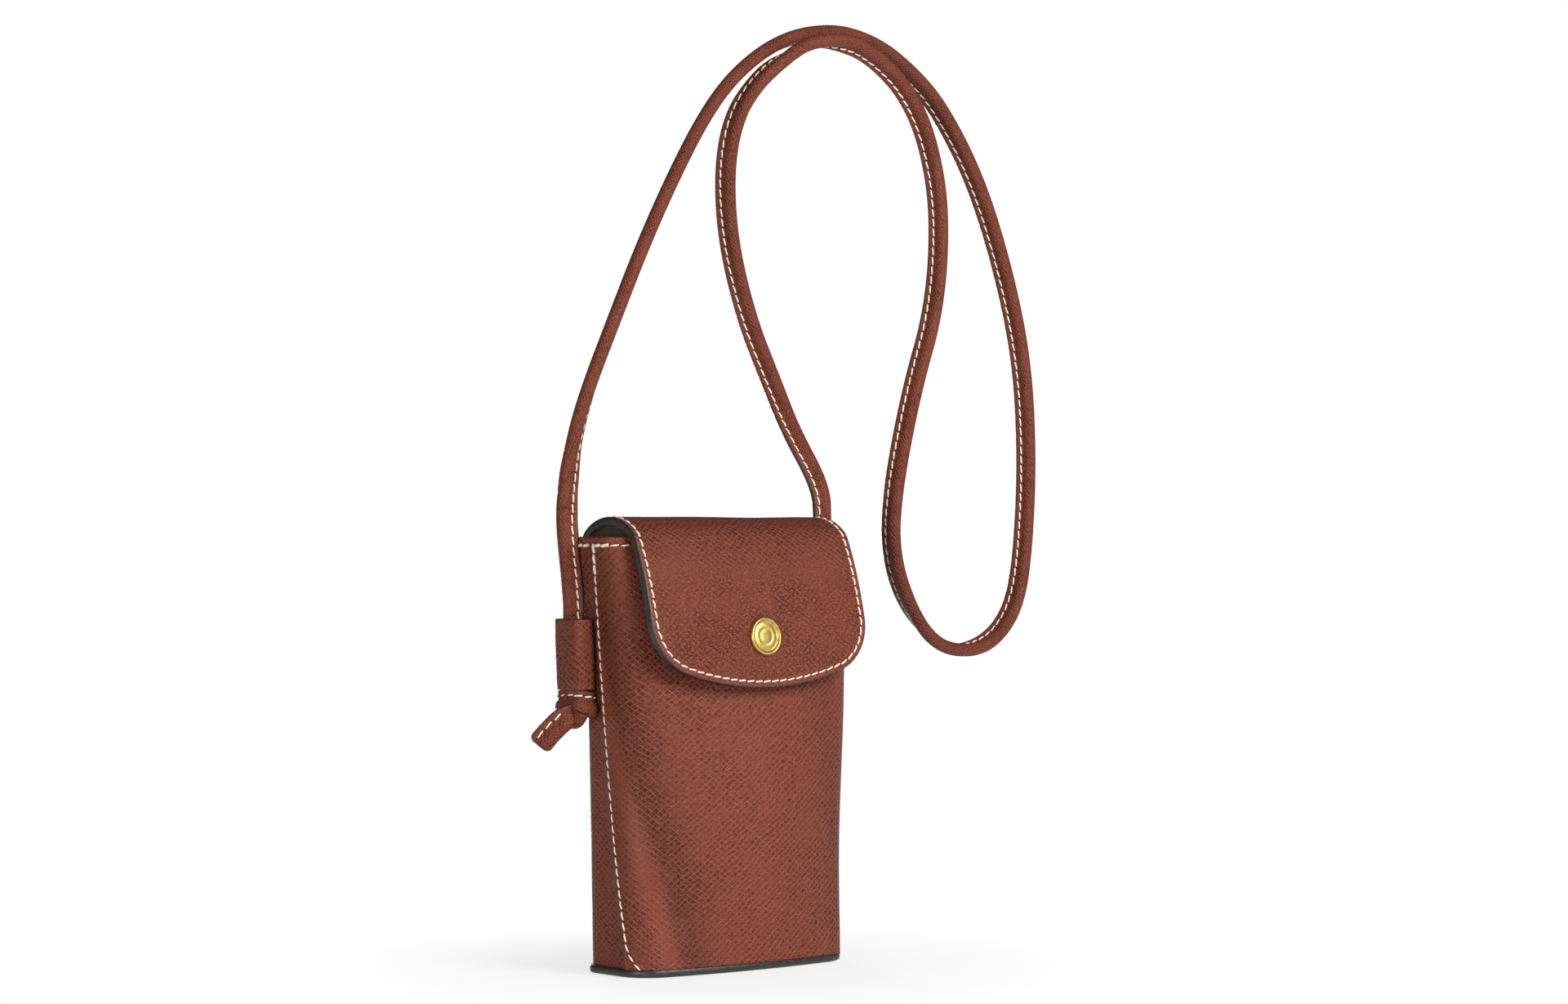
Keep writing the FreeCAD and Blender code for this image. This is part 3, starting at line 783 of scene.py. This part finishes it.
crown_forward = crown_radius * math.sin(crown_start) - hinge_depth
crown_height = hinge_height - crown_radius * math.cos(crown_start)
hinge_legs = [bend(crown_radius, crown_start, crown_end), bend(shoulder_radius, crown_end, shoulder_end)]
front_top = -walk((-hinge_depth, -hinge_height), -crown_start, hinge_legs, math.inf)[1]
front_radius = (front_top - flap_bottom + flap_overrun) / (math.cos(shoulder_end) - math.cos(front_end))
front_middle = front_top - front_radius * math.cos(shoulder_end)
fillet_end = math.asin((crown_forward - yoke_fillet + yoke_high_depth) / (crown_radius - yoke_fillet))
fillet_height = crown_height + (crown_radius - yoke_fillet) * math.cos(fillet_end)
yoke_low = mouth_height - yoke_height
yoke_run = fillet_height - yoke_low
flap_legs = [bend(yoke_fillet, math.pi / 2, fillet_end), bend(crown_radius, fillet_end, crown_end),
             bend(shoulder_radius, crown_end, shoulder_end), bend(front_radius, shoulder_end, front_end)]


def flap_profile(run):
    """Depth, height and heading at a run along the strip from the yoke's lower edge."""
    if run <= yoke_run:
        share = run / yoke_run
        return yoke_low_depth + share * (yoke_high_depth - yoke_low_depth), yoke_low + run, math.pi / 2
    x, y, heading = walk((-yoke_high_depth, -fillet_height), -math.pi / 2, flap_legs, run - yoke_run)
    return -x, -y, -heading


def front_run(height):
    """Run along the strip to a height on its front."""
    before = yoke_run + full_run(flap_legs[:3])
    return before + front_radius * (shoulder_end + math.acos((height - front_middle) / front_radius))


def flap_edge(x, inset=0.0):
    """Height of the flap's lower edge at a place across it, and of the line an inset inside it."""
    meet = corner_x * (flap_bow - inset) / (flap_bow - flap_corner)
    if abs(x) <= meet:
        return bow_height - math.sqrt((flap_bow - inset) ** 2 - x ** 2)
    reach = (flap_corner - inset) ** 2 - (abs(x) - corner_x) ** 2
    return corner_height - math.sqrt(max(0.0, reach))


def flap_edge_distance(x, run):
    """Distance of a place on the strip from its nearest cut edge."""
    near = min(flap_half_width - abs(x), run)
    height, heading = flap_profile(run)[1:]
    if heading < crown_end and height < corner_height:
        near = min(near, flap_bow - math.hypot(x, height - bow_height))
        if abs(x) > corner_x:
            near = min(near, flap_corner - math.hypot(abs(x) - corner_x, height - corner_height))
    return max(0.0, near)


def flap_at(x, run, depth=groove_depth):
    """Point on the flap and the way it faces. Its sides draw in a little towards the pouch."""
    back, height, heading = flap_profile(run)
    facing = Vector((0, math.sin(heading), math.cos(heading)))
    draw = flap_draw * (x / flap_half_width) ** 2 * min(1.0, max(0.0, (run - draw_start) / draw_length))
    return Vector((x, back, height)) - (depth + draw) * facing, facing


flap_lower_steps = 12
flap_full_length = 0.0240
shoulder_stations = (0.0, 0.0020)
flap_columns = [place - flap_half_width for place in stations(2 * flap_half_width)]
shoulder_run = front_run(shoulder_height)


def flap_sheet(name, depth, thickness, start_run, materials, sewn, fill=0.0):
    """Sheet along the strip: even rows down to the shoulder, then rows that close up to the lower edge."""
    grid = []
    upper = [start_run + place for place in stations(shoulder_run - start_run, far=shoulder_stations)]
    for i in range(len(upper) + flap_lower_steps + len(edge_stations)):
        row = []
        for x in flap_columns:
            if i < len(upper):
                run = upper[i]
            else:
                length = front_run(flap_edge(x)) - shoulder_run
                far = [place * min(1.0, length / flap_full_length) for place in edge_stations]
                first = far[-1] / 4
                lower = stations(length, (0.0, first), far, (length - first - far[-1]) / flap_lower_steps)
                run = shoulder_run + lower[i - len(upper) + 1]
            edge = flap_edge_distance(x, run)
            point, facing = flap_at(x, run, depth)
            out = flap_calm * ripple(flap_waves, x, run) * min(1.0, edge / wave_hold)
            if sewn:
                out -= groove(edge)
            row.append((point + facing * out, facing, (x, run), edge, edge <= flap_lip))
        grid.append(row)
    return leather_sheet(name, grid, thickness, materials, fill=fill, finished=0 if sewn else 1)


flap_hide = stamped_hide("flap_hide", hide_cell, hide_shades, [front_run(height) for height in cut_heights])
flap = flap_sheet("flap_hide", 0.0, flap_thickness, 0.0, (flap_hide, edge_paint, pocket_suede), True)
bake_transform(flap)
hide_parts("flap_leather", "flap_yoke")

# The flap's row of stitches, by halves: down the side, round the corner and along the bow.
side_steps, corner_steps, bow_steps = 160, 24, 40
side_x = flap_half_width - stitch_margin
sewn_corner = flap_corner - stitch_margin
half_row = [(side_x, run) for run in steps_between(stitch_margin, front_run(corner_height), side_steps)]
for angle in steps_between(0.0, math.acos(corner_x / (flap_bow - flap_corner)), corner_steps)[1:]:
    height = corner_height - sewn_corner * math.sin(angle)
    half_row.append((corner_x + sewn_corner * math.cos(angle), front_run(height)))
for x in steps_between(half_row[-1][0], 0.0, bow_steps)[1:]:
    half_row.append((x, front_run(flap_edge(x, stitch_margin))))
whole_row = [flap_at(-x, run) for x, run in half_row]
whole_row += [flap_at(x, run) for x, run in reversed(half_row[:-1])]
yoke_row = [flap_at(x, stitch_margin) for x in steps_between(side_x, -side_x)]
flap_stitches = sew("flap_stitches", [whole_row, yoke_row])
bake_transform(flap_stitches)

# Flap lining. The same taupe suede as in the pocket, glued under the flap from the mouth to its lower
# edge. It thickens the edge there and is painted together with it.
flap_glue_line = 0.00003
flap_lining_thickness = 0.0010
flap_edge_fill = 0.0010
yoke_bare = 0.0072
flap_lining = flap_sheet("flap_lining_suede", flap_thickness + flap_glue_line, flap_lining_thickness,
                         yoke_run + yoke_bare, (pocket_suede, edge_paint, pocket_suede), False,
                         flap_edge_fill)
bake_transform(flap_lining)
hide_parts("flap_lining")

# Press stud. A brass cap with a rolled rim and turned rings is riveted through the flap to a socket
# with two spring wires, which snaps over the stud on the front.
snap_axis = Vector((0.0, -0.98921, 0.14653)).normalized()
snap_seat = Vector((0.0, -0.021185, 0.1301))
cap_sit = 0.006982
cap_steps = 64
# Radius and height of the cap's turned outline, from its middle to its foot.
cap_outline = [
    (0.0010, 0.00126), (0.0027, 0.00124), (0.0029, 0.00116), (0.0031, 0.00116), (0.0033, 0.00124),
    (0.0052, 0.00126), (0.0054, 0.00110), (0.0057, 0.00108), (0.0060, 0.00120), (0.0063, 0.00156),
    (0.0066, 0.00182), (0.0069, 0.00190), (0.0072, 0.00180), (0.0074, 0.00150), (0.0076, 0.00090),
    (0.0075, 0.00000),
]


def metal(name, dark, light, rough):
    """Worn metal: a little tarnish, which is rougher, and fine scratches."""
    material, tree, shader = new_material(name)
    place = wire(tree, "ShaderNodeTexCoord", {}, "Object")
    tarnish = speckle(tree, place, 380.0, 4.0)
    shader.inputs["Metallic"].default_value = 1.0
    dress(tree, shader, mixed(tree, ease(tree, tarnish, 0.35, 0.7), light, dark),
          ease(tree, tarnish, 0.3, 0.75, rough, rough + 0.16), speckle(tree, place, 1800.0, 3.0), 0.00003)
    return material


def lathe(name, outline, seat, axis, steps, material):
    """Turned piece about an axis, closed at its middle and foot."""
    bm = bmesh.new()
    side = axis.cross(Vector((1, 0, 0))).normalized()
    other = axis.cross(side)
    turns = [2 * math.pi * i / steps for i in range(steps)]
    ways = [side * math.cos(turn) + other * math.sin(turn) for turn in turns]
    skin(bm, [[bm.verts.new(foot + seat + axis * height + way * radius) for way in ways]
              for radius, height in outline])
    return put(name, bm, (material,))


cap_brass = metal("cap_brass", (0.38, 0.255, 0.062, 1), (0.61, 0.45, 0.145, 1), 0.36)
cap_seat = snap_seat + snap_axis * cap_sit
snap_cap = lathe("snap_cap_turned", cap_outline, cap_seat, snap_axis, cap_steps, cap_brass)
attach(snap_cap, "flap")
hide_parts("snap_cap")
stud_brass = metal("stud_brass", (0.42, 0.27, 0.12, 1), (0.70, 0.50, 0.25, 1), 0.28)
spring_wire = metal("spring_wire", (0.32, 0.32, 0.33, 1), (0.55, 0.55, 0.56, 1), 0.26)
recoat(stud_brass, "snap_stud", "snap_eyelet", "snap_socket")
recoat(spring_wire, "snap_spring")

# Keepers. A strip of the hide folded into a flat sleeve on each side, with its ends in the seam.
# The lace goes down through it and is knotted below.
keeper_x = 0.062017
keeper_y = 0.0134
keeper_low = 0.1105
keeper_high = 0.1383
keeper_half = (0.0047, 0.00825)
keeper_corner = 0.0034
keeper_thickness = 0.0014
keeper_swell = 0.0002
keeper_lean = 0.0012
keeper_step = 0.0020
sleeve_stations = edge_stations[:7]
sleeve_steps = 72


def sleeve_outline(side, count=sleeve_steps):
    """Places round the sleeve with the way they face and the run, from the middle of one narrow side."""
    flat_x, flat_y = (half - keeper_corner for half in keeper_half)
    corner = (keeper_corner * math.pi / 2, keeper_corner)
    legs = [(flat_x, None), corner, (2 * flat_y, None), corner, (flat_x, None)] * 2
    for run in steps_between(0.0, full_run(legs), count):
        x, y, heading = walk((0.0, -flat_y - keeper_corner), 0.0, legs, run)
        yield Vector((side * x, -y, 0)), Vector((side * math.sin(heading), math.cos(heading), 0)), run


def keeper_middle(side, height):
    """Middle of the sleeve at a height. It leans in with the wall below its upper edge."""
    lean = keeper_lean * (keeper_high - height) / (keeper_high - keeper_low)
    return Vector((side * (keeper_x - lean), keeper_y, height))


def keeper(side, name, node):
    """Sleeve on one side, a little full in the middle."""
    grid = []
    length = keeper_high - keeper_low
    for place in stations(length, sleeve_stations, sleeve_stations, keeper_step):
        edge = min(place, length - place)
        swell = keeper_swell * (1 - (2 * place / length - 1) ** 2)
        middle = keeper_middle(side, keeper_low + place)
        grid.append([(middle + point + facing * swell, facing, (run, place), edge, edge <= mouth_lip)
                     for point, facing, run in sleeve_outline(side)])
    piece = leather_sheet(name, grid, keeper_thickness, (panel_hide, edge_paint, raw_hide), True)
    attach(piece, "pouch")
    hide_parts(node)


keeper(-1, "keeper_left_sleeve", "keeper_left")
keeper(1, "keeper_right_sleeve", "keeper_right")

# Lace strap. A narrow strip of hide folded round a core and sewn along its flange, so that it is a
# round bead with a flat painted edge. It runs up from the left keeper, hangs over the hook in a
# long loop and comes down to the right keeper.
lace_cell = 0.0012
lace_bead = 0.0028
lace_bead_place = -0.0014
bead_start = math.radians(32)
bead_steps = 14
lace_sew_place = 0.0021
lace_sew_half = 0.0010
flange_rub_start = 0.0026
flange_rub_reach = 0.0010
flange_paint_start = 0.0039
# One face of the flange, from its tip to the bead: place across the lace, and half its thickness.
flange_outline = [(0.0043, 0.0005), (0.0040, 0.00095), (0.0031, 0.0011), (lace_sew_place, 0.00092)]
line_resolution = 14
# Control points in metres: the left keeper and lead, the free lace, the right lead and keeper.
left_lead = [(-0.062017, 0.0134, 0.1045), (-0.062017, 0.0134, 0.1383), (-0.0622, 0.0136, 0.1480),
             (-0.0627, 0.0163, 0.1680)]
free_lace = [
    (-0.0629, 0.0173, 0.1815), (-0.0605, 0.0174, 0.2007), (-0.0585, 0.0108, 0.224), (-0.0486, 0.0045, 0.2549),
    (-0.0304, 0.0092, 0.2860), (-0.0095, 0.0157, 0.3156), (0.0116, 0.0229, 0.3408), (0.0302, 0.0277, 0.3583),
    (0.0523, 0.0319, 0.3722), (0.0731, 0.0345, 0.3797), (0.0953, 0.0362, 0.3825), (0.1160, 0.0367, 0.3785),
    (0.1344, 0.0365, 0.3684), (0.1503, 0.0360, 0.3556), (0.1707, 0.0348, 0.3264), (0.1865, 0.0336, 0.2877),
    (0.1970, 0.0324, 0.2469), (0.1988, 0.0312, 0.2041), (0.1954, 0.0301, 0.1648), (0.1898, 0.0293, 0.1411),
    (0.1781, 0.0287, 0.1273), (0.1633, 0.0284, 0.1213), (0.1453, 0.0281, 0.1224), (0.1293, 0.0279, 0.1343),
    (0.1164, 0.0277, 0.1582), (0.1155, 0.0274, 0.1847), (0.1266, 0.0269, 0.2310), (0.1407, 0.0270, 0.2680),
    (0.1433, 0.0266, 0.3092), (0.1362, 0.0266, 0.3392), (0.1240, 0.0263, 0.3585), (0.1074, 0.0263, 0.3709),
    (0.0904, 0.0263, 0.3773), (0.0710, 0.0270, 0.3757), (0.0563, 0.0289, 0.3674), (0.0448, 0.0318, 0.3572),
    (0.0367, 0.0359, 0.3425), (0.0358, 0.0409, 0.3211), (0.0426, 0.0467, 0.2925), (0.0551, 0.0497, 0.2608),
    (0.0637, 0.0450, 0.2365), (0.0632, 0.0311, 0.2142), (0.0679, 0.0172, 0.1908), (0.0665, 0.0146, 0.1765),
]
right_lead = [(0.0652, 0.0138, 0.1620), (0.0625, 0.0134, 0.1480), (0.062017, 0.0134, 0.1383),
              (0.062017, 0.0134, 0.1045)]
# Turn of the flange about the lace in degrees, by the number of the control point. At 0 it lies to
# the left of the way up the strap as the front left shows it, at 90 it points to the front left.
flange_turns = [
    (0, 168), (2, 171), (3, 177), (4, 212), (5, 244), (6, 254), (9, 262), (11, 264), (13, 250), (14, 238),
    (16, 206), (18, 190), (22, 186), (24, 205), (26, 268), (28, 330), (30, 350), (34, 352), (36, 330),
    (37, 280), (39, 212), (41, 186), (44, 178), (46, 150), (48, 140), (50, 120), (51, 120),
]
front_left = Vector((-0.629, -0.777, 0.0))
least_level = 0.25


def smooth_line(points):
    """Points read from a NURBS curve with the given control points."""
    curve = bpy.data.curves.new("line", "CURVE")
    curve.dimensions = "3D"
    spline = curve.splines.new("NURBS")
    spline.points.add(len(points) - 1)
    for control, point in zip(spline.points, points):
        control.co = (*point, 1.0)
    spline.order_u = 3
    spline.use_endpoint_u = True
    spline.resolution_u = line_resolution
    holder = bpy.data.objects.new("line", curve)
    mesh = bpy.data.meshes.new_from_object(holder)
    line = [vert.co.copy() for vert in mesh.vertices]
    bpy.data.objects.remove(holder)
    bpy.data.curves.remove(curve)
    bpy.data.meshes.remove(mesh)
    return line


def table_value(table, place):
    """Value between the rows of a table, eased."""
    for (low, one), (high, two) in zip(table, table[1:]):
        if place <= high:
            share = max(0.0, (place - low) / (high - low))
            return one + (two - one) * share * share * (3 - 2 * share)
    return table[-1][1]


def directions(line):
    """Way ahead at each point of a line."""
    ends = [line[0]] + list(line) + [line[-1]]
    return [(after - before).normalized() for before, after in zip(ends, ends[2:])]


bead_angles = steps_between(bead_start, 2 * math.pi - bead_start, bead_steps - 1)
lace_outline = flange_outline + [(lace_bead_place + lace_bead * math.cos(angle), lace_bead * math.sin(angle))
                                 for angle in bead_angles]
lace_outline += [(a, -b) for a, b in reversed(flange_outline)]
lace_hide = stamped_hide("lace_hide", lace_cell, hide_shades)
lace_materials = (lace_hide, edge_paint, raw_hide)


def lace_piece(name, line, flanges, run_start=0.0, scales=None, aheads=None, end=1):
    """Length of lace on a line, with its flange the given way at each point. Gives its run too."""
    bm, pattern, rub = new_hide()
    around = [0.0]
    for one, two in zip(lace_outline, lace_outline[1:] + lace_outline[:1]):
        around.append(around[-1] + math.dist(one, two))
    rings, runs = [], [run_start]
    for one, two in zip(line, line[1:]):
        runs.append(runs[-1] + (two - one).length)
    scales = scales or [1.0] * len(line)
    for point, ahead, flange, scale in zip(line, aheads or directions(line), flanges, scales):
        across = ahead.cross(flange)
        ring = [bm.verts.new(point + (flange * a + across * b) * scale + foot) for a, b in lace_outline]
        for vert, (a, b) in zip(ring, lace_outline):
            vert[rub] = max(0.0, min(1.0, (a - flange_rub_start) / flange_rub_reach))
        rings.append(ring)
    for faces, low, high in zip(skin(bm, rings, end=end), runs, runs[1:]):
        for i, face in enumerate(faces):
            outer = min(lace_outline[i][0], lace_outline[(i + 1) % len(lace_outline)][0])
            face.material_index = 1 if outer > flange_paint_start else 0
            for loop, place in zip(face.loops, ((low, i), (low, i + 1), (high, i + 1), (high, i))):
                loop[pattern].uv = (place[0], around[place[1]])
    return put(name, bm, lace_materials), runs[-1] - run_start


lace_points = left_lead + free_lace + right_lead
lace_line = smooth_line(lace_points)
lace_aheads = directions(lace_line)
lace_flanges = []
for number, ahead in enumerate(lace_aheads):
    turn = math.radians(table_value(flange_turns, (len(lace_points) - 1) * number / (len(lace_line) - 1)))
    level = front_left - ahead * front_left.dot(ahead)
    if level.length < least_level:
        level = lace_flanges[-1]
    level.normalize()
    leftward = level.cross(ahead)
    lace_flanges.append((leftward * math.cos(turn) + level * math.sin(turn)).normalized())


def nearest(point):
    return min(range(len(lace_line)), key=lambda i: (lace_line[i] - Vector(point)).length)


left_top, right_top = nearest(free_lace[0]), nearest(free_lace[-1])
left_low = next(i for i, point in enumerate(lace_line) if point.z >= keeper_high)
right_low = next(i for i in range(len(lace_line) - 1, 0, -1) if lace_line[i].z >= keeper_high)
left_part, free_part = slice(left_low, left_top + 1), slice(left_top, right_top + 1)
right_part = slice(right_top, right_low + 1)


def lace_stretch(name, part, run_start):
    """A part of the lace's line, cut square across it."""
    return lace_piece(name, lace_line[part], lace_flanges[part], run_start, aheads=lace_aheads[part], end=0)


lead_left, run = lace_stretch("lace_lead_left_piping", left_part, 0.0)
lace, lace_length = lace_stretch("strap_lace_piping", free_part, run)
lead_right = lace_stretch("lace_lead_right_piping", right_part, run + lace_length)[0]
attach(lace, "strap")
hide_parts("strap_lace")
for lead, node, low, high in ((lead_left, "lace_lead_left", left_low, left_top),
                              (lead_right, "lace_lead_right", right_low, right_top)):
    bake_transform(lead)
    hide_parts(node)


def lace_rows(line, flanges, scale=1.0):
    """Rows of stitches along both faces of the flange."""
    rows = []
    for face in (-1, 1):
        rows.append([])
        for point, ahead, flange in zip(line, directions(line), flanges):
            outward = ahead.cross(flange) * face
            rows[-1].append((point + (flange * lace_sew_place + outward * lace_sew_half) * scale, outward))
    return rows


lace_stitches = sew("lace_stitches", lace_rows(lace_line[free_part], lace_flanges[free_part]))
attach(lace_stitches, "strap")
for name, part, low, high in (("lead_left_stitches", left_part, left_low, left_top),
                              ("lead_right_stitches", right_part, right_low, right_top)):
    piece = sew(name, lace_rows(lace_line[part], lace_flanges[part]))
    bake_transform(piece)
[foot + point for point in lace_line[free_part]]

# Lace ends. Under each keeper the lace is wrapped round itself once, pulled tight into a knot that
# can't slip up, and cut off with a short tail.
knot_low = 0.1005
knot_high = 0.1103
knot_length = knot_high - knot_low
knot_half = (0.0049, 0.0082)
knot_wall = 0.0022
knot_step = 0.0008
knot_bead = 0.0015
knot_flange = 0.0036
flange_sink = 0.0005
flange_lift = 0.0003
knot_lean = 0.0006
knot_lean_waves = 187.5
sewn_station = -7
neck_share = 0.74
neck_heights = (knot_high - 0.0010, keeper_low + 0.0020)
neck_steps = 36
turn_scale = 1.1
tail_scale = 1.14
tail_start_share = 0.45
tail_growth = 1.3
tail_bare_steps = 8
tail_end_shares = (0.98, 0.93, 0.84, 0.66)
# The lace from inside the knot to the cut end: places out from the pouch, to the front, and heights.
tail_route = [(0.0000, 0.0020, 0.1040), (0.0032, 0.0034, 0.1030), (0.0064, 0.0034, 0.1012),
              (0.0092, 0.0022, 0.0988), (0.0118, 0.0006, 0.0960), (0.0142, -0.0010, 0.0928),
              (0.0164, -0.0028, 0.0892)]
# The turn that passes under the knot, from its back to its front.
turn_route = [(0.0004, -0.0050, 0.1040), (0.0012, -0.0034, 0.1010), (0.0022, 0.0004, 0.0998),
              (0.0030, 0.0040, 0.1004), (0.0030, 0.0058, 0.1036)]
# The right tail lies closer to the pouch than the left one.
tail_reach_shares = {-1: 1.0, 1: 0.72}


def joined(name, pieces):
    """One object from several lengths of lace."""
    bm = bmesh.new()
    for piece in pieces:
        bm.from_mesh(piece.data)
        bpy.data.objects.remove(piece)
    return put(name, bm, lace_materials)


def knot_swell(place):
    """How far the band stands out at a height above its lower edge: full bead, thin flange above."""
    bead = knot_length - knot_flange
    if place < bead:
        return knot_bead * math.sqrt(max(0.0, 1 - (2 * place / bead - 1) ** 2)) - flange_sink
    return flange_lift * (place - bead) / (knot_length - bead) - flange_sink


def knot(side, label, keeper_part):
    """Knot under one keeper: band, neck, tail, passing turn and the lace inside the keeper in one.

    The neck is painted black all over: painted shade in the gap between knot and keeper.
    """
    grid = []
    wider, deeper = knot_half[0] / keeper_half[0], knot_half[1] / keeper_half[1]
    for place in stations(knot_length, sleeve_stations, sleeve_stations, knot_step):
        row = []
        for point, facing, run in sleeve_outline(side):
            lean = knot_lean * math.sin(knot_lean_waves * run + side)
            out = Vector((point.x * wider, point.y * deeper, lean)) + facing * knot_swell(place)
            centre = keeper_middle(side, knot_low + place)
            row.append((centre + out, facing, (run, place), knot_length - place, False))
        grid.append(row)
    sewn = [cell[:2] for cell in grid[sewn_station]]
    # The neck between knot and keeper is painted black all over: painted shade for the gap there.
    painted_shade_neck = [[(keeper_middle(side, height) + point * neck_share, facing, (run, height), 1.0, True)
             for point, facing, run in sleeve_outline(side, neck_steps)] for height in neck_heights]

    def routed(route):
        middle = keeper_middle(side, knot_low)
        reach = side * tail_reach_shares[side]
        points = [(middle.x + reach * out, middle.y - ahead, height) for out, ahead, height in route]
        line = smooth_line(points)
        return line, [(Vector((0, 0, 1)) - ahead * ahead.z).normalized() for ahead in directions(line)]

    band = leather_sheet("band", grid, knot_wall, lace_materials, True)
    tail, flanges = routed(tail_route)
    turn, turn_flanges = routed(turn_route)
    growth = steps_between(tail_start_share, tail_start_share + tail_growth, len(tail) - 1)
    shares = [min(1.0, share) for share in growth]
    shares[-len(tail_end_shares):] = tail_end_shares
    scales = [tail_scale * share for share in shares]
    pieces = [band, leather_sheet("painted_shade_neck", painted_shade_neck, knot_wall, lace_materials, True),
              lace_piece("tail", tail, flanges, scales=scales)[0],
              lace_piece("turn", turn, turn_flanges, scales=[turn_scale] * len(turn))[0],
              lace_piece("stretch", lace_line[keeper_part], lace_flanges[keeper_part])[0]]
    piece = joined("lace_knot_" + label + "_wrap", pieces)
    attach(piece, "pouch")
    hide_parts("lace_knot_" + label)
    shown = slice(len(tail) // 2, -tail_bare_steps)
    stitches = sew("knot_" + label + "_stitches", [sewn] + lace_rows(tail[shown], flanges[shown], tail_scale))
    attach(stitches, "pouch")


knot(-1, "left", slice(0, left_low + 1))
knot(1, "right", slice(right_low, None))

# Floor, light and camera. A plain white floor that keeps the shadow under the pouch, two soft lamps
# in front and a small one behind, and the photograph's view.
floor_half = 3.0
floor_gap = 0.0002
shadow_reach = (0.03, 0.17)
shadow_white = 0.72
corners = [(x * floor_half, y * floor_half, foot.z - floor_gap)
           for x, y in ((-1, -1), (1, -1), (1, 1), (-1, 1))]


def seen_by(tree, *rays):
    """1 for the given kinds of rays, 0 for all others."""
    kinds = tree.nodes.new("ShaderNodeLightPath").outputs
    return reckon(tree, "MAXIMUM", *(kinds[ray] for ray in rays))


def blended(tree, output, share, one, two):
    """Links a blend of two shaders to the output."""
    blend = wire(tree, "ShaderNodeMixShader", {0: share, 1: one, 2: two})
    tree.links.new(blend, tree.nodes[output].inputs["Surface"])


white, tree, shader = new_material("floor_white")
shader.inputs["Base Color"].default_value = (0.82, 0.82, 0.82, 1)
shader.inputs["Roughness"].default_value = 0.9
place = wire(tree, "ShaderNodeTexCoord", {}, "Object")
away = reckon_vector(tree, "DISTANCE", place, tuple(foot), "Value")
seen = seen_by(tree, "Is Camera Ray", "Is Glossy Ray")
fade = reckon(tree, "MULTIPLY", ease(tree, away, *shadow_reach, shadow_white, 1.0), seen)
glow = wire(tree, "ShaderNodeEmission", {"Color": (1, 1, 1, 1), "Strength": 1.0})
blended(tree, "Material Output", fade, shader.outputs[0], glow)
mesh = bpy.data.meshes.new("floor")
mesh.from_pydata(corners, [], [(0, 1, 2, 3)])
mesh.materials.append(white)
floor = add("floor", mesh)

world = bpy.data.worlds.new("studio")
world.use_nodes = True
bpy.context.scene.world = world
tree = world.node_tree
seen = seen_by(tree, "Is Camera Ray", "Is Transmission Ray")
room = wire(tree, "ShaderNodeBackground", {"Color": (0.90, 0.92, 0.95, 1), "Strength": 0.14})
blank = wire(tree, "ShaderNodeBackground", {"Color": (1, 1, 1, 1), "Strength": 1.0})
blended(tree, "World Output", seen, room, blank)

lamp_aim = foot + Vector((0.03, 0.0, 0.15))
for name, place, size, power in (
        ("key", (0.18, -1.14, 0.55), 0.6, 20.0),
        ("fill", (-1.10, -0.50, -0.08), 0.6, 10.0),
        ("back", (0.45, 1.10, 0.00), 0.3, 8.0)):
    lamp = bpy.data.lights.new(name, "AREA")
    lamp.size = size
    lamp.energy = power
    holder = add(name, lamp)
    holder.location = lamp_aim + Vector(place)
    holder.rotation_euler = (-Vector(place)).to_track_quat("-Z", "Y").to_euler()

view_angle = math.radians(39)
view_distance = 1.500
view_height = 0.1725
sensor_width = 36.0
image_width, image_height = 1920, 1229
focal_pixels = 4618
axis_pixel = (880.5, 650.0)
camera = bpy.data.cameras.new("camera")
camera.sensor_width = sensor_width
camera.lens = sensor_width * focal_pixels / image_width
camera.clip_end = 20.0
eye = add("camera", camera)
towards = Vector((math.sin(view_angle), math.cos(view_angle), 0))
rightward = Vector((math.cos(view_angle), -math.sin(view_angle), 0))
eye.location = foot - towards * view_distance + Vector((0, 0, view_height))
gaze = (towards + rightward * (image_width / 2 - axis_pixel[0]) / focal_pixels
        + Vector((0, 0, 1)) * (axis_pixel[1] - image_height / 2) / focal_pixels)
eye.rotation_euler = gaze.to_track_quat("-Z", "Y").to_euler()
bpy.context.scene.camera = eye
bpy.context.scene.view_settings.view_transform = "Standard"
